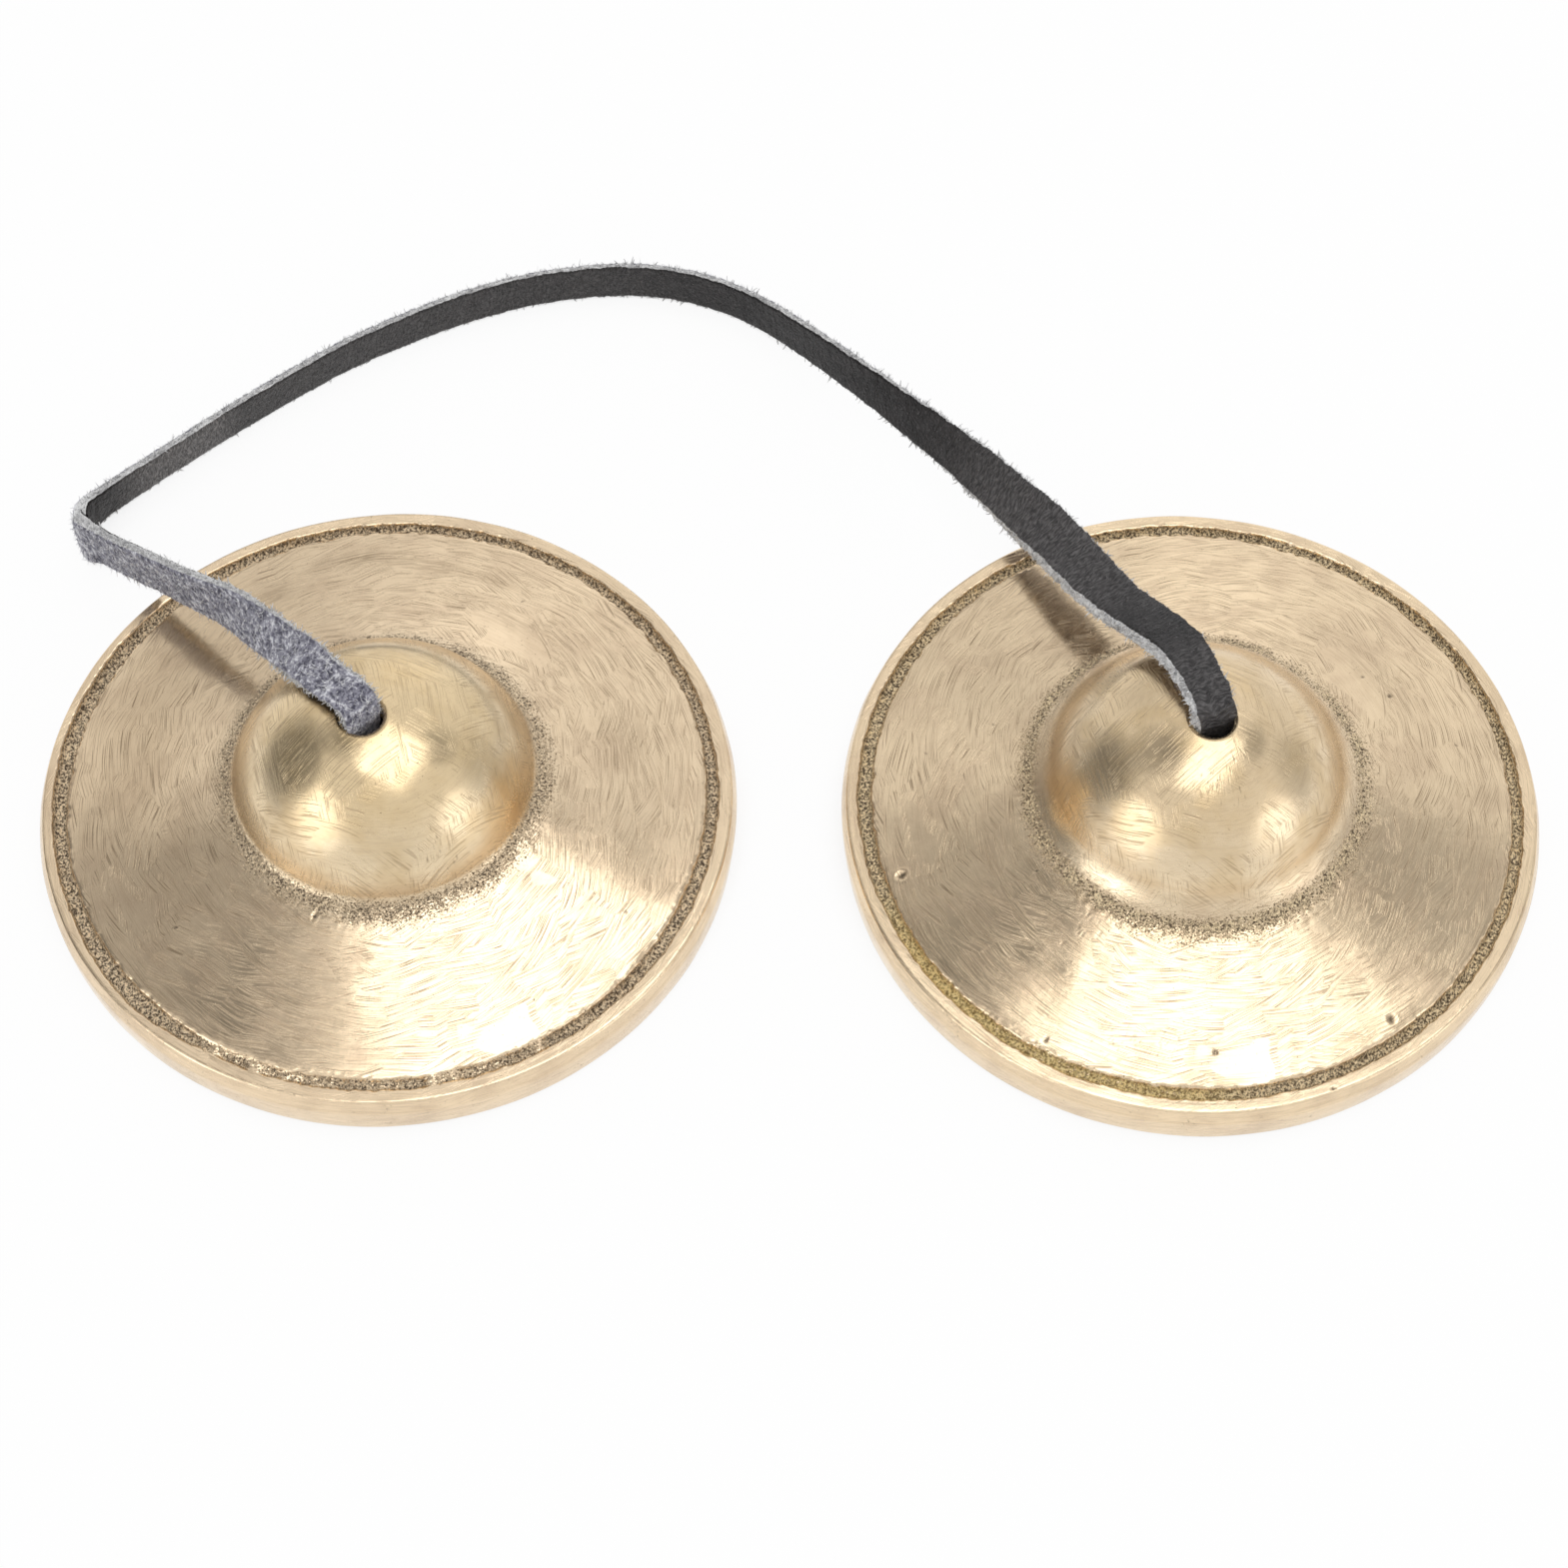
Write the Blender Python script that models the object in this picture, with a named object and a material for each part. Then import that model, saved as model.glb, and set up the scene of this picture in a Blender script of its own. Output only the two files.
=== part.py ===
"""A tingsha: two cast cymbals that stand on their rims, joined by one leather strap.

The strap is a single thong. It is tied in an overhand knot inside each dome, comes up
through the hole, folds over and goes round behind the cymbals on its edge. Metres, +Z up,
with the rims' lands on z = 0 and the cymbals side by side along X.
"""

from math import cos, hypot, pi, radians, sin, sqrt

import bmesh
import bpy
import numpy as np

MM = 0.001

# Cymbals. Radii are from a cymbal's own axis, heights from the land it stands on.
RIM_RADIUS = 32.5 * MM
RIM_HEIGHT = 4.85 * MM
RIM_WALL = 3.2 * MM
RIM_WIDEST_HEIGHT = 3.4 * MM
RIM_BASE_INSET = 0.2 * MM
RIM_UNDER_ROUND = 0.6 * MM
RIM_INNER_ROUND = 1.5 * MM
LAND_CHAMFER = 0.3 * MM
RIDGE_INSET = 0.35 * MM
RIDGE_ROUND = 0.35 * MM
BEAD_WIDTH = 1.6 * MM
GROOVE_WIDTH = 1.25 * MM
GROOVE_DEPTH = 0.85 * MM
FLANGE_EDGE_HEIGHT = 5.1 * MM
FLANGE_EDGE_SLOPE = radians(12.4)
FLANGE_CURVE_RADIUS = 170 * MM
DOME_RADIUS = 14.5 * MM
DOME_CENTRE_HEIGHT = 5.5 * MM
WALL = 2.7 * MM
HOLE_RADIUS = 1.95 * MM
HOLE_CHAMFER = 0.2 * MM
HOLE_SHIFT_REACH = 9.0 * MM

# How the two castings differ: the hollow at the dome's foot, the length along Y as a share of
# the width, and where the hole was drilled.
FOOT_ROUND_LEFT = 1.5 * MM
FOOT_ROUND_RIGHT = 5.0 * MM
ROUNDNESS_LEFT = 0.989
ROUNDNESS_RIGHT = 1.0
HOLE_OFFSET_LEFT = (-1.0 * MM, -0.4 * MM)
HOLE_OFFSET_RIGHT = (0.7 * MM, -0.1 * MM)

# The gap between the two rims, and how far the right cymbal stands in front of the left one.
RIM_GAP = 9.8 * MM
RIGHT_FORWARD = 0.6 * MM

# Strap: a flat thong on its edge, its grain face to the inside of the loop.
STRAP_WIDTH = 4.8 * MM
STRAP_THICKNESS = 1.1 * MM
KNOT_THICKNESS = 1.3 * MM
CUT_EDGE_ROUND = 0.25 * MM
TABLE_CLEARANCE = 0.1 * MM
JOINT_CLEARANCE = 0.5 * MM
KNOT_CENTRE_DROP = 7.9 * MM

# Facets: steps round a cymbal and along each arc of its profile, the angle over which an edge
# stays sharp, and the most that the thong may run or turn between two rings.
SEGMENTS = 60
DOME_STEPS = 7
FOOT_STEPS = 4
FLANGE_STEPS = 2
GROOVE_STEPS = 6
RIM_STEPS = 2
INNER_STEPS = 3
SHARP_ANGLE = radians(35)
RING_STEP = 3.4 * MM
RING_TURN = radians(13)

# A small step along the thong's places, for the directions it runs in.
NUDGE = 0.0004

BRASS_LEFT = (0.62, 0.50, 0.33)
BRASS_RIGHT = (0.64, 0.53, 0.35)
LEATHER = (0.10, 0.105, 0.125)
BRASS_ROUGHNESS = 0.34
LEATHER_ROUGHNESS = 0.85

# Each row of a leg: X and Y from the hole's axis, height over the hole's mouth, lean and width.
# Lean is in degrees off standing on edge, positive where the top edge leans into the loop.
LEFT_LEG = [
    (-0.3, 0.35, 1.5, 90, 3.2),
    (-1.1, 1.15, 2.0, 90, 3.4),
    (-3.0, 2.8, 1.55, 84, 3.5),
    (-5.4, 5.3, 0.6, 66, 3.7),
    (-7.9, 8.3, -1.0, 45, 4.0),
    (-10.6, 11.2, -2.4, 27, 4.5),
    (-13.4, 14.2, -4.1, 13, 4.8),
    (-16.4, 16.9, -6.0, 4, 4.8),
    (-19.5, 19.8, -8.2, 0, 4.8),
    (-22.5, 22.7, -10.4, -2, 4.8),
    (-25.6, 25.8, -13.0, -3, 4.8),
    (-28.5, 29.2, -15.8, -2, 4.8),
    (-29.6, 30.3, -16.6, 0, 4.8),
]
RIGHT_LEG = [
    (-0.2, 0.45, 1.5, -90, 3.2),
    (-0.7, 1.6, 2.0, -90, 3.4),
    (-1.6, 3.9, 1.9, -88, 3.7),
    (-2.9, 7.2, 0.9, -86, 3.9),
    (-7.2, 15.6, -5.4, -84, 4.1),
    (-10.2, 20.8, -7.7, -76, 4.5),
    (-13.0, 25.9, -9.5, -64, 4.8),
    (-15.6, 29.9, -10.9, -50, 4.8),
    (-19.3, 35.3, -12.5, -34, 4.8),
    (-23.6, 40.5, -13.6, -22, 4.8),
    (-28.2, 45.7, -14.7, -12, 4.8),
    (-33.0, 50.7, -15.5, -5, 4.8),
    (-37.9, 55.7, -16.7, -1, 4.8),
]
# Each row on the table: X and Y from the middle of the pair, and lean.
TABLE_RUN = [
    (-68.7, 31.2, 0),
    (-68.9, 32.3, 0),
    (-68.6, 33.4, 1),
    (-67.9, 34.3, 4),
    (-65.7, 36.3, 6),
    (-60.2, 40.9, 7),
    (-50.5, 48.5, 6),
    (-40.2, 55.2, 4),
    (-29.1, 60.1, 2),
    (-23.1, 61.6, 2),
    (-17.1, 62.2, 2),
    (-11.0, 61.6, 1),
    (-5.1, 59.4, 0),
]
# The overhand knot, from the hole down to the tail. Each row: turn about the hole's axis in
# degrees, distance from it, height over the knot's centre, tilt of the face off the radius in
# degrees, and width.
KNOT = [
    (0, 0.0, 8.3, -180, 3.1),
    (0, 0.0, 6.0, -180, 3.0),
    (0, 0.0, 3.0, -180, 2.9),
    (0, 0.0, 0.0, -180, 2.8),
    (0, 0.1, -1.8, -175, 2.8),
    (0, 1.2, -3.3, -120, 2.9),
    (8, 3.1, -3.3, -70, 2.9),
    (30, 4.3, -2.0, -30, 2.9),
    (75, 4.5, -1.0, -5, 2.9),
    (130, 4.5, -0.6, 0, 2.9),
    (190, 4.5, -0.2, 0, 2.9),
    (250, 4.5, 0.3, 5, 2.9),
    (310, 4.4, 1.0, 10, 2.9),
    (360, 4.0, 1.8, 20, 2.9),
    (405, 3.15, 2.0, 25, 2.9),
    (450, 2.65, 0.9, 10, 2.9),
    (490, 2.65, -1.2, 0, 2.9),
    (515, 2.7, -3.6, 0, 3.0),
    (528, 3.2, -5.2, 15, 3.3),
    (535, 4.1, -6.2, 34, 3.6),
]


def clear_scene():
    for obj in list(bpy.data.objects):
        bpy.data.objects.remove(obj, do_unlink=True)


def finish(name, colour, roughness, metallic):
    """A Principled material of one colour."""
    material = bpy.data.materials.new(name)
    material.use_nodes = True
    shader = material.node_tree.nodes["Principled BSDF"]
    shader.inputs["Base Color"].default_value = (*colour, 1.0)
    shader.inputs["Roughness"].default_value = roughness
    shader.inputs["Metallic"].default_value = metallic
    return material


def solid(name, mesh, material, origin, parent=None):
    """An object whose mesh is in world coordinates, with its own origin at `origin`."""
    mesh.update()
    for vertex in mesh.vertices:
        vertex.co.x -= origin[0]
        vertex.co.y -= origin[1]
        vertex.co.z -= origin[2]
    mesh.materials.append(material)
    mesh.shade_smooth()
    mesh.set_sharp_from_angle(angle=SHARP_ANGLE)
    obj = bpy.data.objects.new(name, mesh)
    bpy.context.scene.collection.objects.link(obj)
    obj.parent = parent
    held = parent["origin"] if parent else (0, 0, 0)
    obj["origin"] = origin
    obj.location = [at - base for at, base in zip(origin, held)]
    return obj


def arc(centre, radius, start, end, steps):
    """Points (r, z) on a circle, from one angle in degrees to another, both ends included."""
    turns = [radians(start + (end - start) * i / steps) for i in range(steps + 1)]
    return [(centre[0] + radius * cos(a), centre[1] + radius * sin(a)) for a in turns]


def angle_to(centre, point):
    """The direction of `point` from `centre`, in degrees."""
    return float(np.degrees(np.arctan2(point[1] - centre[1], point[0] - centre[0])))


def circles_meet(a, a_radius, b, b_radius):
    """The lower of the two points where two circles cross."""
    apart = hypot(b[0] - a[0], b[1] - a[1])
    along = (apart**2 + a_radius**2 - b_radius**2) / (2 * apart)
    aside = sqrt(a_radius**2 - along**2)
    x, z = (b[0] - a[0]) / apart, (b[1] - a[1]) / apart
    ends = [(a[0] + x * along - s * z * aside, a[1] + z * along + s * x * aside) for s in (1, -1)]
    return min(ends, key=lambda point: point[1])


def shell_line(offset, foot_round, outer_end):
    """One side of the wall from the hole to the flange's edge, `offset` inside the top face.

    The dome, the hollow at its foot and the flange are three circles that touch, so both
    sides of the wall share their centres.
    """
    dome = (0, DOME_CENTRE_HEIGHT)
    edge_radius = RIM_RADIUS - BEAD_WIDTH - GROOVE_WIDTH
    flange = (
        edge_radius + FLANGE_CURVE_RADIUS * sin(FLANGE_EDGE_SLOPE),
        FLANGE_EDGE_HEIGHT + FLANGE_CURVE_RADIUS * cos(FLANGE_EDGE_SLOPE),
    )
    foot = circles_meet(dome, DOME_RADIUS + foot_round, flange, FLANGE_CURVE_RADIUS - foot_round)
    dome_radius = DOME_RADIUS - offset
    flange_radius = FLANGE_CURVE_RADIUS + offset
    top = np.degrees(np.arccos((HOLE_RADIUS + HOLE_CHAMFER) / dome_radius))
    low = angle_to(dome, foot)
    turn = angle_to(flange, foot)
    line = arc(dome, dome_radius, top, low, DOME_STEPS)
    line += arc(foot, foot_round + offset, low - 180, turn, FOOT_STEPS)[1:-1]
    line += arc(flange, flange_radius, turn, outer_end(flange, flange_radius), FLANGE_STEPS)
    return line


def top_line(foot_round):
    """The shell's top face, then the groove and the bead, down to the land."""
    edge_radius = RIM_RADIUS - BEAD_WIDTH - GROOVE_WIDTH
    line = shell_line(0, foot_round, lambda *_: -90 - np.degrees(FLANGE_EDGE_SLOPE))
    groove_turns = [pi * i / GROOVE_STEPS for i in range(1, GROOVE_STEPS)]
    for turn in groove_turns:
        across = (1 - cos(turn)) / 2
        height = FLANGE_EDGE_HEIGHT + (RIM_HEIGHT - FLANGE_EDGE_HEIGHT) * across
        line.append((edge_radius + GROOVE_WIDTH * across, height - GROOVE_DEPTH * sin(turn)))
    line.append((edge_radius + GROOVE_WIDTH, RIM_HEIGHT))
    ridge = RIM_RADIUS - RIDGE_INSET - RIDGE_ROUND
    line += arc((ridge, RIM_HEIGHT - RIDGE_ROUND), RIDGE_ROUND, 90, 15, RIM_STEPS)
    line.append((RIM_RADIUS, RIM_WIDEST_HEIGHT))
    base = RIM_RADIUS - RIM_BASE_INSET - RIM_UNDER_ROUND
    line += arc((base, RIM_UNDER_ROUND), RIM_UNDER_ROUND, 0, -90, RIM_STEPS)
    return line


def under_line(foot_round):
    """The hollow side, from the land's inner edge up to the hole."""
    inner = RIM_RADIUS - RIM_WALL
    line = [(inner + LAND_CHAMFER, 0), (inner, LAND_CHAMFER)]
    corner = []

    def at_rim(flange, flange_radius):
        centre_radius = inner - RIM_INNER_ROUND
        reach = flange_radius + RIM_INNER_ROUND
        height = flange[1] - sqrt(reach**2 - (flange[0] - centre_radius) ** 2)
        corner.append((centre_radius, height))
        return angle_to(flange, corner[0])

    shell = shell_line(WALL, foot_round, at_rim)
    start = angle_to(corner[0], shell[-1])
    line += arc(corner[0], RIM_INNER_ROUND, 0, start, INNER_STEPS)[:-1]
    return line + shell[::-1]


def cymbal(name, centre, hole, foot_round, roundness, material, parent):
    """A cymbal turned about its axis, its hole then drawn aside to where it was drilled."""
    profile = top_line(foot_round) + under_line(foot_round)
    hole_top = profile[0][1] - HOLE_CHAMFER
    hole_foot = profile[-1][1] + HOLE_CHAMFER
    profile += [(HOLE_RADIUS, hole_foot), (HOLE_RADIUS, hole_top)]
    bm = bmesh.new()
    ring = [bm.verts.new((r, 0, z)) for r, z in profile]
    edges = [bm.edges.new((ring[i], ring[i - 1])) for i in range(len(ring))]
    bmesh.ops.spin(
        bm, geom=ring + edges, cent=(0, 0, 0), axis=(0, 0, 1), angle=2 * pi, steps=SEGMENTS, use_merge=True
    )
    bmesh.ops.remove_doubles(bm, verts=bm.verts, dist=0.001 * MM)
    bmesh.ops.recalc_face_normals(bm, faces=bm.faces)
    for vertex in bm.verts:
        away = (hypot(vertex.co.x, vertex.co.y) - HOLE_RADIUS) / (HOLE_SHIFT_REACH - HOLE_RADIUS)
        share = min(max(away, 0), 1)
        drawn = 1 - share**2 * (3 - 2 * share)
        vertex.co.y *= drawn + roundness * (1 - drawn)
        vertex.co.x += centre[0] + (hole[0] - centre[0]) * drawn
        vertex.co.y += centre[1] + (hole[1] - centre[1]) * drawn
    mesh = bpy.data.meshes.new(name)
    bm.to_mesh(mesh)
    bm.free()
    return solid(name, mesh, material, (*hole, 0), parent)


def smooth_curve(rows, places, at):
    """The natural cubic curve through `rows`, which lie at `places`, read at each of `at`."""
    gaps = np.diff(places)
    slopes = np.diff(rows, axis=0) / gaps[:, None]
    system = np.eye(len(rows))
    wanted = np.zeros_like(rows)
    for i in range(1, len(rows) - 1):
        system[i, i - 1 : i + 2] = gaps[i - 1], 2 * (gaps[i - 1] + gaps[i]), gaps[i]
        wanted[i] = 6 * (slopes[i] - slopes[i - 1])
    bends = np.linalg.solve(system, wanted)
    i = np.clip(np.searchsorted(places, at, side="right") - 1, 0, len(gaps) - 1)
    before = ((places[i + 1] - at) / gaps[i])[:, None]
    after = 1 - before
    pull = (before**3 - before) * bends[i] + (after**3 - after) * bends[i + 1]
    return before * rows[i] + after * rows[i + 1] + pull * (gaps[i] ** 2)[:, None] / 6


def mouth_height():
    return DOME_CENTRE_HEIGHT + sqrt(DOME_RADIUS**2 - HOLE_RADIUS**2)


def leg_points(leg, hole):
    return [
        (hole[0] + x * MM, hole[1] + y * MM, mouth_height() + z * MM, lean, width * MM)
        for x, y, z, lean, width in leg
    ]


def strap_rows(left_hole, right_hole):
    """Rows of the strap from the left fold to the right: place, grain direction, width, thickness."""
    on_table = STRAP_WIDTH / 2 + TABLE_CLEARANCE
    points = leg_points(LEFT_LEG, left_hole)
    points += [(x * MM, y * MM, on_table, lean, STRAP_WIDTH) for x, y, lean in TABLE_RUN]
    points += leg_points(RIGHT_LEG, right_hole)[::-1]
    rows = []
    for i, (x, y, z, lean, width) in enumerate(points):
        before, after = points[max(i - 1, 0)], points[min(i + 1, len(points) - 1)]
        along = np.subtract(after[:3], before[:3])
        along /= np.linalg.norm(along)
        inward = np.array([along[1], -along[0], 0])
        inward /= np.linalg.norm(inward)
        upward = np.cross(inward, along)
        grain = inward * cos(radians(lean)) - upward * sin(radians(lean))
        rows.append((x, y, z, *grain, width, STRAP_THICKNESS))
    return rows


def knot_rows(hole, heading):
    """Rows of a knot from the hole to its tail. `heading` is the way that its turn 0 faces."""
    centre_height = mouth_height() - KNOT_CENTRE_DROP
    rows = []
    for turn, away, height, tilt, width in KNOT:
        way = radians(turn) + heading
        outward = np.array([cos(way), sin(way), 0])
        grain = outward * cos(radians(tilt)) + np.array([0, 0, sin(radians(tilt))])
        place = np.array([*hole, centre_height + height * MM]) + outward * away * MM
        rows.append((*place, *grain, width * MM, KNOT_THICKNESS))
    return rows


def heading_of(leg):
    """The way a leg leaves its hole, seen from above, in radians."""
    return float(np.arctan2(leg[1][1], leg[1][0]))


def unit(vectors):
    return vectors / np.linalg.norm(vectors, axis=-1, keepdims=True)


def thong_frames(rows, places, at):
    """Centres, grain directions, across directions, widths and thicknesses at `at`."""
    read = smooth_curve(rows, places, at)
    ahead = smooth_curve(rows, places, at + NUDGE) - smooth_curve(rows, places, at - NUDGE)
    ahead = unit(ahead[:, :3])
    grain = read[:, 3:6] - (read[:, 3:6] * ahead).sum(axis=1)[:, None] * ahead
    grain = unit(grain)
    return read[:, :3], grain, np.cross(grain, ahead), read[:, 6], read[:, 7]


def thong_rings(rows, places, start, end):
    """Frames from one place along the thong to another, closer together where it bends."""
    stops = [start, *[place for place in places if start < place < end], end]
    at = [start]
    for low, high in zip(stops, stops[1:]):
        probes = smooth_curve(rows, places, np.linspace(low, high, 9))[:, :3]
        moves = np.diff(probes, axis=0)
        length = np.linalg.norm(moves, axis=1).sum()
        cosines = (unit(moves[1:]) * unit(moves[:-1])).sum(axis=1)
        turn = np.arccos(np.clip(cosines, -1, 1)).sum()
        count = max(1, round(length / RING_STEP), round(turn / RING_TURN))
        at += list(np.linspace(low, high, count + 1)[1:])
    return thong_frames(rows, places, np.array(at))


def section(width, thickness):
    """The thong's outline: a flat bar with its four cut edges eased."""
    side, face = width / 2, thickness / 2
    ease = CUT_EDGE_ROUND
    corner = [(side, face - ease), (side - ease, face)]
    flip = [(-a, b) for a, b in corner[::-1]]
    return corner + flip + [(-a, -b) for a, b in corner] + [(-a, -b) for a, b in flip]


def outlines(rings):
    """The outline's points in space, ring by ring."""
    found = []
    for centre, grain, across, width, thickness in zip(*rings):
        found.append([centre + across * a + grain * b for a, b in section(width, thickness)])
    return np.array(found)


def loft(name, rings, material, origin, parent=None):
    """A closed solid through the rings, capped at both ends."""
    bm = bmesh.new()
    loops = [[bm.verts.new(point) for point in ring] for ring in outlines(rings)]
    for low, high in zip(loops, loops[1:]):
        for i in range(len(low)):
            bm.faces.new((low[i - 1], low[i], high[i], high[i - 1]))
    bm.faces.new(loops[0])
    bm.faces.new(loops[-1][::-1])
    bmesh.ops.recalc_face_normals(bm, faces=bm.faces)
    mesh = bpy.data.meshes.new(name)
    bm.to_mesh(mesh)
    bm.free()
    return solid(name, mesh, material, origin, parent)


def least_gap(rings, skip=5 * MM, shares=6):
    """The smallest distance between stretches of a knot that lie more than `skip` apart along it."""
    ring_points = outlines(rings)
    following = np.roll(ring_points, -1, axis=1)
    mixes = [ring_points * (1 - i / shares) + following * i / shares for i in range(shares)]
    points = np.concatenate(mixes, axis=1)
    steps = np.linalg.norm(np.diff(rings[0], axis=0), axis=1)
    along = np.concatenate([[0], np.cumsum(steps)])
    least = np.inf
    for i, ring in enumerate(points):
        others = points[along > along[i] + skip].reshape(-1, 3)
        if len(others):
            apart = np.linalg.norm(ring[:, None] - others[None], axis=2)
            least = min(least, apart.min())
    return least


def fold_cut(rows, places, fold, outer_side):
    """The hinge's point on the thong's outer face at a fold, its axis, and the gap's two places."""
    found = [value[0] for value in thong_frames(rows, places, np.array([fold]))]
    centre, grain, across, _, thickness = found
    hinge = centre + grain * outer_side * thickness / 2
    ends = smooth_curve(rows, places, np.array([fold - NUDGE, fold + NUDGE]))[:, :3]
    half_gap = JOINT_CLEARANCE * NUDGE / np.linalg.norm(ends[1] - ends[0])
    return tuple(float(value) for value in hinge), across, fold - half_gap, fold + half_gap


def main():
    clear_scene()
    half = RIM_RADIUS + RIM_GAP / 2
    left = (-half, RIGHT_FORWARD / 2)
    right = (half, -RIGHT_FORWARD / 2)
    left_hole = (left[0] + HOLE_OFFSET_LEFT[0], left[1] + HOLE_OFFSET_LEFT[1])
    right_hole = (right[0] + HOLE_OFFSET_RIGHT[0], right[1] + HOLE_OFFSET_RIGHT[1])

    left_knot = knot_rows(left_hole, heading_of(LEFT_LEG) + pi)[::-1]
    middle = strap_rows(left_hole, right_hole)
    right_knot = knot_rows(right_hole, heading_of(RIGHT_LEG))
    rows = np.array(left_knot + middle + right_knot)
    chords = np.linalg.norm(np.diff(rows[:, :3], axis=0), axis=1)
    places = np.concatenate([[0], np.cumsum(np.sqrt(chords))])
    first, last = len(left_knot), len(left_knot) + len(middle) - 1
    left_hinge, left_axis, left_end, strap_start = fold_cut(rows, places, places[first], -1)
    right_hinge, right_axis, strap_end, right_start = fold_cut(rows, places, places[last], 1)

    strap_rings = thong_rings(rows, places, strap_start, strap_end)
    left_rings = thong_rings(rows, places, places[0], left_end)
    right_rings = thong_rings(rows, places, right_start, places[-1])
    leather = finish("strap leather", LEATHER, LEATHER_ROUGHNESS, 0.0)
    knotted = finish("knot leather", LEATHER, LEATHER_ROUGHNESS, 0.0)
    strap = loft("strap", strap_rings, leather, (0.0, 0.0, 0.0))
    knot_left = loft("knot_left", left_rings, knotted, left_hinge, strap)
    knot_right = loft("knot_right", right_rings, knotted, right_hinge, strap)
    brass = finish("left brass", BRASS_LEFT, BRASS_ROUGHNESS, 1.0)
    cymbal("cymbal_left", left, left_hole, FOOT_ROUND_LEFT, ROUNDNESS_LEFT, brass, knot_left)
    brass = finish("right brass", BRASS_RIGHT, BRASS_ROUGHNESS, 1.0)
    cymbal("cymbal_right", right, right_hole, FOOT_ROUND_RIGHT, ROUNDNESS_RIGHT, brass, knot_right)

    for side, hinge, axis, rings in (
        ("left", left_hinge, left_axis, left_rings),
        ("right", right_hinge, right_axis, right_rings),
    ):
        print(f"{side} swing axis {np.round(axis, 4).tolist()} through {np.round(hinge, 6).tolist()}")
        print(f"{side} knot: least gap to itself {least_gap(rings) / MM:.2f} mm")
    length = np.linalg.norm(np.diff(strap_rings[0], axis=0), axis=1).sum()
    print(f"strap: {length / MM:.0f} mm between its folds")


main()
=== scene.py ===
# The looks of a tingsha. Lengths are in millimetres and turns in degrees where nothing else is
# said, and angles on a cymbal are counted round its own centre.

from math import atan2, cos, degrees, hypot, pi, radians, sin, sqrt

import bpy
import numpy as np
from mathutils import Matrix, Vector


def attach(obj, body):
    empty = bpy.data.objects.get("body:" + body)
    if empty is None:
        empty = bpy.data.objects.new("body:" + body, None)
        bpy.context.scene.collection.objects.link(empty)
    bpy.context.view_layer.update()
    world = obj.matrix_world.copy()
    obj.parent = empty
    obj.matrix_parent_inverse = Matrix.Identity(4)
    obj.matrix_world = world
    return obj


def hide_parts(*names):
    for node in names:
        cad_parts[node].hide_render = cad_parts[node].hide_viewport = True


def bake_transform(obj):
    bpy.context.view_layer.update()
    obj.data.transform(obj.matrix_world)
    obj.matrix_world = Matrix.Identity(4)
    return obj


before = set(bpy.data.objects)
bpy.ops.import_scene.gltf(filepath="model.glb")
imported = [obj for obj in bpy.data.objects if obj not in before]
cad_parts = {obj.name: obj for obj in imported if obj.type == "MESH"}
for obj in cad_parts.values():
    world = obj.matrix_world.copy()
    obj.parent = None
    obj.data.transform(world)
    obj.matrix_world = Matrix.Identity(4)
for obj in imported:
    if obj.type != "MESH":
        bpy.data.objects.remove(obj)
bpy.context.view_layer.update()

MM = 0.001

# The photograph's camera, fitted to the rims and the strap. Its places are in metres.
CAMERA_AT = (-0.000484, -0.18685, 0.32672)
CAMERA_TO = (-0.000484, 0.004396, 0.0)
CAMERA_LENS = 91.78
CAMERA_SENSOR = 36

# Cymbals, as in the solids.
RIM_RADIUS = 32.5
RIM_HEIGHT = 4.85
RIM_WALL = 3.2
RIM_WIDEST_HEIGHT = 3.4
RIM_BULGE = 0.02
RIM_BASE_INSET = 0.2
RIM_UNDER_ROUND = 0.6
RIM_INNER_ROUND = 1.5
LAND_CHAMFER = 0.3
RIDGE_INSET = 0.35
RIDGE_ROUND = 0.35
BEAD_WIDTH = 1.6
GROOVE_WIDTH = 1.25
GROOVE_DEPTH = 0.85
FLANGE_EDGE_HEIGHT = 5.1
FLANGE_EDGE_SLOPE = radians(12.4)
FLANGE_CURVE_RADIUS = 170.0
DOME_RADIUS = 14.5
DOME_CENTRE_HEIGHT = 5.5
WALL = 2.7
HOLE_RADIUS = 1.95
HOLE_CHAMFER = 0.2
HOLE_SHIFT_REACH = 9.0
RIM_GAP = 9.8
RIGHT_FORWARD = 0.6
GROOVE_IN = RIM_RADIUS - BEAD_WIDTH - GROOVE_WIDTH
GROOVE_OUT = RIM_RADIUS - BEAD_WIDTH
MOUTH = DOME_CENTRE_HEIGHT + sqrt(DOME_RADIUS**2 - HOLE_RADIUS**2)
CENTRE_X = RIM_RADIUS + RIM_GAP / 2
CENTRES = {"left": (-CENTRE_X, RIGHT_FORWARD / 2), "right": (CENTRE_X, -RIGHT_FORWARD / 2)}
HOLES = {
    "left": (CENTRES["left"][0] - 1.0, CENTRES["left"][1] - 0.4),
    "right": (CENTRES["right"][0] + 0.7, CENTRES["right"][1] - 0.1),
}
FOOT_ROUND = {"left": 1.5, "right": 5.0}
ROUNDNESS = {"left": 0.989, "right": 1.0}

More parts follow.
